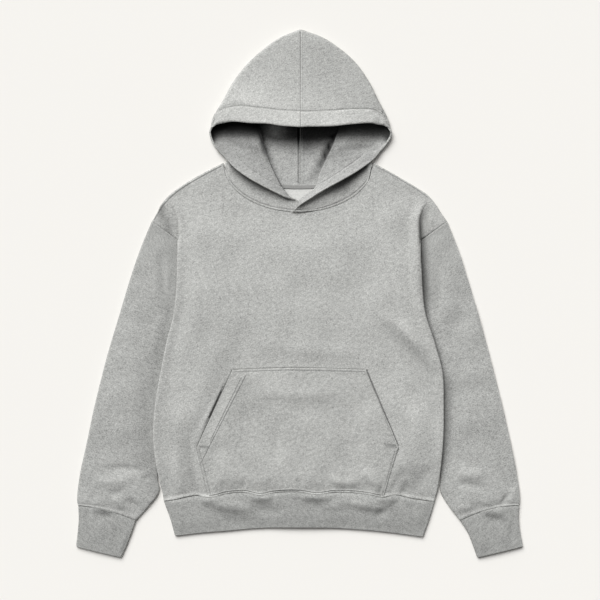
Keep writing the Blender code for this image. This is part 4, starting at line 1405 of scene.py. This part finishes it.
def hoodControl(rows, side):   # side is 1 for the left half and -1 for the right
    pleated = np.arange(len(rows["over"])) <= np.flatnonzero(rows["over"]).max()
    turnNormals = lineNormals(rows["turnX"][pleated], rows["turnY"][pleated], -side)
    foldNormals = lineNormals(rows["foldX"][pleated], rows["foldY"][pleated], side)
    rolled = rows["curl"] > 0
    outward = np.zeros((len(rolled), 2))
    outward[rolled] = lineNormals(rows["sideX"][rolled], rows["sideY"][rolled], -side)
    outward[-1] = (0.0, 1.0)
    last = len(rolled) - 1
    centre = hoodX - side * seamReach
    lines = []
    for r in range(len(rolled)):
        line = {name: values[r] for name, values in rows.items()}
        if r == 0:
            lines.append(neckRow(side, line))
            continue
        start = np.array([centre, line["back"], low])
        edge = np.array([line["edgeX"], line["edgeY"], line["edgeZ"] * hood["lift"][r]])
        point = np.array([line["sideX"], line["sideY"]])
        if r == last:
            edge[0] = centre
            point[0] = centre - side * 0.1
        rim = turnUp(point - outward[r] * wall / 2, outward[r], low,
                     line["curl"] * hood["curl"] or 1.0, line["round"], rollCount)
        if line["over"] > 0:
            raised = hood["crossing"][r] if side < 0 and r < len(hood["crossing"]) else 0.0
            raised += hood["pleatRadius"] * (1 + math.cos(math.radians(line["turned"])))
            raised += hood["stand"][r]
            share = line["turned"] / 180
            outer = turnUp((line["turnX"], line["turnY"]), turnNormals[r], low, fold * share,
                           line["turned"], turnCount)
            inner = turnUp((line["foldX"], line["foldY"]), foldNormals[r], high + raised,
                           hood["pleatRadius"] * share, line["over"], turnCount,
                           180 - line["turned"])
            base = np.vstack([run(start, outer[0], backSteps), outer,
                              run(outer[-1], inner[0], underSteps), inner])
        else:
            base = run(start, rim[0], plainSteps)
        if rolled[r]:
            out = run(base[-1], rim[0], outSteps)
            out[:, 2] = mix(base[-1, 2], rim[0, 2], ease((outSteps - 0.1) / 0.8))
            crossing = np.linspace(0, 1, 200)
            over = run(rim[-1], edge, crossing)
            left = smooth(tunnel["x"], tunnel["y"], over[:, 0]) - over[:, 1]
            length = np.linalg.norm(edge[:2] - rim[-1, :2])
            seam = length * 0.45
            if left[0] < 0 < left[-1]:
                seam = np.interp(0.0, left, crossing * length)
            overSteps = gathered(length, seam)
            over = run(rim[-1], edge, overSteps)
            power = 1 + length / 95
            over[:, 2] = mix(rim[-1, 2], edge[2], overSteps ** power)
            over[:, 2] += hood["dome"] * np.sin(math.pi * overSteps) * (line["round"] == 180)
            flap = np.vstack([out, rim, over])
        else:
            length = np.linalg.norm(edge - base[-1])
            reach = min(0.75 * length, hood["hemWidth"] + 14)
            first = np.linspace(0, length - reach, len(outSteps) + rollCount + 1)[1:]
            seam = max(reach - hood["hemWidth"], reach * 0.3)
            second = length - reach + reach * gathered(reach, seam)
            flap = run(base[-1], edge, np.append(first, second) / length)
        lines.append(np.vstack([base, flap]))
    return np.array(lines)


def refine(points, step):      # cubic down each column, held between its neighbours
    gaps = np.linalg.norm(np.diff(points, axis=0), axis=2)
    mean = gaps.mean(axis=1)[:, None, None]
    slope = np.diff(points, axis=0) / mean
    before, after = slope[:-1], slope[1:]
    centred = (before * mean[1:] + after * mean[:-1]) / (mean[:-1] + mean[1:])
    most = 2.2 * np.minimum(np.abs(before), np.abs(after))
    tangent = np.empty_like(points)
    tangent[0], tangent[-1] = slope[0], slope[-1]
    tangent[1:-1] = np.where(before * after > 0, np.clip(centred, -most, most), 0.0)
    rows, places = [], []
    for i in range(len(slope)):
        count = max(2, math.ceil(gaps[i].max() / step))
        cuts = np.arange(count) / count
        if i == 0:             # closer rows at the neck seam
            cuts = np.linspace(0, 1, count * 4)[:-1] ** 1.2
        for t in cuts:
            rows.append((1 + 2 * t) * (1 - t) ** 2 * points[i]
                        + t * (1 - t) ** 2 * mean[i] * tangent[i]
                        + t * t * (3 - 2 * t) * points[i + 1]
                        + t * t * (t - 1) * mean[i] * tangent[i + 1])
            places.append(i + t)
    return np.array(rows + [points[-1]]), np.array(places + [len(slope)])


hoodShades = {                 # painted shade on the hood; below zero, painted highlight
    "lightUnderLip": (-46, 17, -0.95),  # painted light under the lip, where it stands off: x width depth
    "seamShadow": (14, 36, 12, 13, 0.25),  # painted shade by the seam: x, distance under the lip, across, down, depth
    "seamMarks": ((-2.4, 1.4, 0.62), (8.4, 1.6, 0.2)),
    "foldLines": (0.95, 0.6),  # on the left and the right flap's fold
    "crescentLeft": (0.61, 16),  # depth and reach below the flap's edge
    "crescentNear": (0.6, 9),  # the right one's near the neck and far from it
    "crescentFar": (0.88, 12),
    "crescentSpots": ((82, 198, 16, 9, 0.2), (22, 173, 9, 6, 0.2)),
    "neckLine": ((4.2, 1.2, 0.55), (0, 1.3, 0.3)),  # distance from the seam, width, depth
    "tip": -0.7,
    "crownSides": (-0.13, 0.07),  # painted highlight on the left side, painted shade on the right
    "crownSpots": ((12, 432, 75, 42, 0.06), (20, 464, 13, 13, 0.09)),
    "stitched": 0.14,         # along the hem's stitching
    "doubled": 0.2,
    "bandRight": -0.07,
}


def innerShade(x, y, row, column, side):
    # Painted shade inside the hood: under the lip, beside the flaps' folds, and at the centre seam.
    onBack = column < backCount
    under = smooth(lipLine["x"], lipLine["y"], x) - y
    depth = {name: np.interp(under, shade["under"], shade[name]) for name in shade}
    place, width, amount = hoodShades["lightUnderLip"]
    back = depth["back"] + amount * bump(x - place, width) * ease((24 - under) / 18)
    back += spot(x, under, *hoodShades["seamShadow"])
    shadeMask = np.where(onBack, back, depth["left" if side > 0 else "right"])
    at = {name: np.interp(y, streaks["y"], streaks[name]) for name in streaks}
    streak = at["depthRight"] * bump(x - at["right"], at["wide"])
    foldLine = hoodShades["foldLines"][1] * ease((y - 250) / 25)
    if side > 0:
        rows = hoodRows[side]
        foldX = np.interp(y, rows["foldY"][:11], rows["foldX"][:11])
        streak = np.maximum(streak, at["depthLeft"] * bump(x - foldX + 2.5, 7))
        foldLine = hoodShades["foldLines"][0]
    inner = np.maximum(shadeMask, streak * (row < 11))
    inner = np.maximum(inner, foldLine * bump(column - foldColumn, 1.9) * (row < 9.5))
    marks = [amount * bump(x - place, width) for place, width, amount in hoodShades["seamMarks"]]
    seamMarks = (marks[0] + marks[1] * ease((296 - y) / 14)) * onBack * ease((y - 203) / 10)
    return np.maximum(inner, seamMarks + inner * 0.9)


def crescentShade(x, y, place, column, side):
    # The layer between the folds, where the flap's edge keeps the light off it.
    edgeX, edgeY = hoodRows[side]["edgeX"][:8], hoodRows[side]["edgeY"][:8]
    order = np.argsort(edgeX)
    below = np.interp(x, edgeX[order], edgeY[order]) - y
    if side > 0:
        depth, reach = hoodShades["crescentLeft"]
        outer = depth * bump(np.maximum(below, 0), reach)
    else:
        far = ease((x - 35) / 45)
        depth, reach = (mix(*ends, far) for ends in zip(hoodShades["crescentNear"],
                                                        hoodShades["crescentFar"]))
        outer = depth * bump(np.maximum(below - 2, 0), reach)
        outer += sum(spot(x, y, *row) for row in hoodShades["crescentSpots"])
    between = (column >= backCount) * (column < baseCount)
    outer = outer * between * ease((290 - y) / 20) * mix(0.3, 1, ease(np.abs(x - 4) / 40))
    nearFold = ease((column - baseCount + 22) / 12)
    return outer * (1 - nearFold * (1 - ease((place - 0.8) / 0.5)))


def crownShade(x, y, inBand, hemmed, doubled):
    # Painted shade along the hem's stitching and second crease, light and shade on the crown's sides,
    # spots, and a painted highlight on the band's right.
    left, right = hoodShades["crownSides"]
    facing = right * ease(x / 70) + left * ease((-x - 20) / 70) * ease((425 - y) / 50)
    facing += sum(spot(x, y, *row) for row in hoodShades["crownSpots"])
    stitched = hoodShades["stitched"] * bump(inBand, 2.0) + hoodShades["doubled"] * doubled
    band = hoodShades["bandRight"] * ease((x - 20) / 50) * hemmed
    return stitched + facing * ease(-inBand / 14) + band


def hoodPiece(side):
    grid, places = refine(hoodControl(hoodRows[side], side), hood["step"])
    x, y, z = grid[..., 0], grid[..., 1], grid[..., 2]
    row, column = places[:, None], np.arange(grid.shape[1])
    along, fromNeck = runLength(grid, 1), runLength(grid, 0)
    fromEdge, fromTop = along[:, -1:] - along, fromNeck[-1:] - fromNeck
    over = column >= overFirst
    crown = ease(row - cornerRow)
    crescent = (column > backCount) * (row < 1.2)
    shown = ease((row - 0.3) / 0.8)
    acrossCrown = np.where(over, smooth(tunnel["x"], tunnel["y"], x) - y, -99)
    inBand = mix(hood["hemWidth"] - fromEdge, acrossCrown, crown)  # past the hem's stitching
    hemmed = ease((inBand + 1.2) / 2.4) * shown
    doubled = bump(inBand + 5.2, 1.8) * sum(bump(x - at, width) for at, width in hood["doubled"])
    doubled = doubled * crown
    half = wall / 2 + hood["turned"] * hemmed - 0.4 * bump(inBand, 1.8) * shown
    half *= 1 - 0.3 * bump(fromTop, 1.2) - 0.5 * bump(along, 1.5)

    ridge, dip = hood["seamPuff"]
    z -= 0.15 * bump(fromTop, 1.6) * over
    rise = hood["bandRise"] * hemmed * ease(fromEdge / 5 + 0.3) * crown
    z += (rise - hood["groove"] * bump(inBand, 2.0)) * mix(0.4, 1, crown) * shown
    z -= hood["doubledDip"] * doubled
    z += (ridge * bump(fromNeck - 1.8, 1.4) - dip * bump(fromNeck - 4.6, 1.3)) * crescent
    z += foldRelief(x, y, hood["creases"]) * over * crown * ease((z - 8) / 4)

    # Painted shade outside and inside the hood, and a painted highlight at the flap's tip by the neck.
    outer = crescentShade(x, y, row, column, side)
    neckLine = sum(depth * bump(fromNeck - place, width)
                   for place, width, depth in hoodShades["neckLine"])
    outer += neckLine * crescent * ease((y - 130) / 20)
    outer += crownShade(x, y, inBand, hemmed, doubled) * over * crown
    tip = hoodShades["tip"] * bump(fromNeck, 1.0) * (column >= baseCount) * (row < 1)
    outer, inner = outer + tip, innerShade(x, y, row, column, side) + tip
    name = "hoodLeft" if side > 0 else "hoodRight"
    uv = planUv(grid) + cutFrom[name]
    if side < 0:
        grid, uv, half, outer, inner = (part[:, ::-1] for part in (grid, uv, half, outer, inner))
    return cloth(name, [grid], [uv], [hoodOutside, hoodInside], [half], paintedShade=([outer], [inner]))


hoodLeft, hoodLeftArea = hoodPiece(1)
finish(hoodLeft, "hood_left")
hoodRight, hoodRightArea = hoodPiece(-1)
finish(hoodRight, "hood_right")


tape = {"from": 64, "to": 116, "width": 6.4, "half": 0.5, "gap": 0.4, "rim": 0.3}


def tapePiece():
    angles = np.radians(np.linspace(tape["from"], tape["to"], 60))
    offsets = np.linspace(-tape["width"] / 2, tape["width"] / 2, 7)
    x, offset = np.meshgrid(neckX - neckHalf * np.cos(angles), offsets)
    y = neckY - backNeck * np.sin(angles) + offset
    grid = np.stack([x, y, np.full_like(x, wall + tape["gap"] + tape["half"])], axis=2)
    return cloth("neckTape", [grid], [planUv(grid) + cutFrom["tape"]], [twill, twill],
                 [np.full(x.shape, tape["half"])], reach=tape["rim"])


tapeItem, tapeArea = tapePiece()
finish(tapeItem, "neck_tape")
print("hood and neck tape made")

# Stitches: short low-poly threads laid on whatever lies uppermost.
stitch = {"pitch": 3.3, "length": 2.7, "radius": 0.42, "sink": 0.12, "sides": 6}


def threadMaterial():
    material = bpy.data.materials.new("grey thread")
    material.use_nodes = True
    tree = material.node_tree
    shader = tree.nodes["Principled BSDF"]
    place = node(tree, "ShaderNodeTexCoord").outputs["Object"]
    yarn = node(tree, "ShaderNodeGroup", node_tree=heather)
    tree.links.new(place, yarn.inputs["Vector"])
    yarn.inputs["Yarn"].default_value = (0.19, 0.19, 0.185, 1)
    tree.links.new(yarn.outputs["Color"], shader.inputs["Base Color"])
    shader.inputs["Roughness"].default_value = 0.7
    return material


thread = threadMaterial()


def treeOf(item):
    return BVHTree.FromPolygons([v.co for v in item.data.vertices],
                                [tuple(p.vertices) for p in item.data.polygons])


trees = [treeOf(item) for item in (front, pocketItem, hoodLeft, hoodRight, back, tapeItem,
                                   *sleeveItems.values())]


def uppermost(x, y):
    best = None
    for found in trees:
        place, normal, _, _ = found.ray_cast((x * mm, y * mm, 0.2), (0, 0, -1))
        if place is not None and (best is None or place.z > best[0].z):
            best = (place, normal)
    if best is None:
        return None
    return np.array(best[0]) / mm, np.array(best[1])


def alongLine(points, pitch):
    points = np.array(points, dtype=float)
    keys = np.arange(len(points), dtype=float)
    fine = np.linspace(0, keys[-1], 60 * len(points))
    if len(points) > 2:
        curve = np.stack([smooth(keys, points[:, k], fine) for k in (0, 1)], axis=1)
    else:
        curve = mix(points[0], points[1], fine[:, None])
    travelled = np.concatenate([[0], np.cumsum(np.linalg.norm(np.diff(curve, axis=0), axis=1))])
    count = max(1, round(travelled[-1] / pitch))
    places = (np.arange(count) + 0.5) * travelled[-1] / count

    def at(far):
        return np.stack([np.interp(far, travelled, curve[:, k]) for k in (0, 1)], axis=1)

    return at(places), unit(at(places + 0.5) - at(places - 0.5))


def stitches(name, lines, highest=99.0, **changes):
    sizes = {**stitch, **changes}
    length, radius, sides = sizes["length"], sizes["radius"], sizes["sides"]
    spin = np.arange(sides) * 2 * math.pi / sides
    ring = np.stack([np.cos(spin), np.sin(spin)], axis=1) * radius
    points, faces = [], []
    for line in lines:
        middle, ahead = alongLine(line, sizes["pitch"])
        for (x, y), (dx, dy) in zip(middle, ahead):
            found = uppermost(x, y)
            if found is None or found[0][2] > highest:
                continue
            place, normal = found
            forward = np.array([dx, dy, 0.0])
            forward = unit(forward - normal * forward.dot(normal))
            across = np.cross(normal, forward)
            centre = place - normal * sizes["sink"]
            end = forward * length / 2
            dive = normal * radius * 0.6
            first = len(points)
            points.append(centre - end - dive)
            for share in (-0.27, 0.27):
                for aside, up in ring:
                    points.append(centre + forward * length * share + across * aside + normal * up)
            points.append(centre + end - dive)
            for k in range(sides):
                a, b = first + 1 + k, first + 1 + (k + 1) % sides
                faces += [(first, b, a), (a, b, b + sides), (a, b + sides, a + sides),
                          (first + 1 + 2 * sides, a + sides, b + sides)]
    item = makeMesh(name, np.array(points), np.array(faces), [thread])
    finish(item, None)
    print(f"{name}: {len(faces)} triangles")
    return item


def neckArc(inwards, first, last, count=40):
    angles = np.radians(np.linspace(first, last, count))
    return [(neckX - (neckHalf - inwards) * math.cos(a), neckY - (frontNeck - inwards) * math.sin(a))
            for a in angles]


def tunnelLine(x0, x1, offset, count=24):
    x = np.linspace(x0, x1, count)
    return np.stack([x, smooth(tunnel["x"], tunnel["y"], x) + offset], axis=1)


neckStitches = stitches("neckStitches", [neckArc(4.8, 17, 163)], highest=14)  # not on the hood
hoodStitches = stitches("hoodStitches", [
    tunnelLine(-160, 166, 0.0),
    tunnelLine(-14, 84, 3.2),
    tunnelLine(132, 166, -3.0),
    [(5.2, 494), (5.2, 420), (5.2, 346)],
    [(5.0, 312), (4.6, 260), (4.4, 208)],
    [(125, 282), (82, 249), (39, 213)],
    [(-147, 295), (-136, 280)]])
pocketStitches = stitches("pocketStitches", [
    [(-124, -149), (-60, -145.7), (0, -145.2), (60, -145.7), (123, -149)],
    [(-102, -157), (-187, -322.5)],
    [(-110, -160), (-168, -278)],
    [(-190, -296), (-183, -323), (-169, -382)],
    [(181, -300), (173, -330), (157, -384)],
    [(185, -296), (177, -326), (160, -388)],
    [(128, -150), (151, -206), (180, -281)]])
tackRows = ((-190, -173, -289, 1.0, 4), (163, 183, -288, 1.2, 5))  # x0 x1 y spacing rows
tackLines = [[(x0 + k * 0.4, y - k * drop), (x1 + k * 0.4, y - k * drop)]
             for x0, x1, y, drop, count in tackRows for k in range(count)]
barTacks = stitches("barTacks", tackLines, pitch=1.6, length=1.9, radius=0.4)
shoulderStitches = stitches("shoulderStitches", [
    [(-150, 240), (-206, 209.5), (-246.5, 180), (-276, 139)],
    [(143, 241.5), (198, 211.5), (243, 182)]], pitch=3.0, length=2.2, radius=0.3)

# Stage.
floorDrop = 0.0004            # so that it doesn't share a plane with the cloth
bpy.ops.mesh.primitive_plane_add(size=40, location=(0, 0, -floorDrop))
floor = bpy.context.object
floor.name = "floor"
floorMaterial = bpy.data.materials.new("pale floor")
floorMaterial.use_nodes = True
floorShader = floorMaterial.node_tree.nodes["Principled BSDF"]
floorShader.inputs["Base Color"].default_value = (0.785, 0.77, 0.738, 1)
floorShader.inputs["Roughness"].default_value = 0.9
floorShader.inputs["Specular IOR Level"].default_value = 0.0
floor.data.materials.append(floorMaterial)

# A wide soft window at the upper left: degrees, and a glow round it on the sky.
light = {"rise": 43, "turn": 116, "sun": 3.75, "angle": 44, "sky": 0.10, "glow": 0.95, "power": 3.0}
rise, turn = math.radians(light["rise"]), math.radians(light["turn"])
toLight = (math.cos(rise) * math.cos(turn), math.cos(rise) * math.sin(turn), math.sin(rise))
world = bpy.data.worlds.new("studio")
bpy.context.scene.world = world
world.use_nodes = True
tree = world.node_tree
direction = node(tree, "ShaderNodeTexCoord").outputs["Generated"]
facing = vectorMaths(tree, "DOT_PRODUCT", direction, toLight, "Value")
wide = maths(tree, "POWER", maths(tree, "MAXIMUM", facing, 0.0), light["power"])
glow = maths(tree, "ADD", maths(tree, "MULTIPLY", wide, light["glow"]), light["sky"])
tree.links.new(glow, tree.nodes["Background"].inputs["Strength"])
tree.nodes["Background"].inputs["Color"].default_value = (1, 1, 1, 1)
lamp = bpy.data.lights.new("window", "SUN")
lamp.energy = light["sun"]
lamp.angle = math.radians(light["angle"])
sun = bpy.data.objects.new("window", lamp)
sun.rotation_euler = (0, math.pi / 2 - rise, turn)
bpy.context.collection.objects.link(sun)

view = {"lens": 85, "sensor": 36, "place": (0.00095, -0.0128, 2.698), "farthest": 100}
lens = bpy.data.cameras.new("camera")
lens.lens = view["lens"]
lens.sensor_width = view["sensor"]
lens.clip_end = view["farthest"]
camera = bpy.data.objects.new("camera", lens)
camera.location = view["place"]
bpy.context.collection.objects.link(camera)
bpy.context.scene.camera = camera
bpy.context.scene.view_settings.view_transform = "Standard"
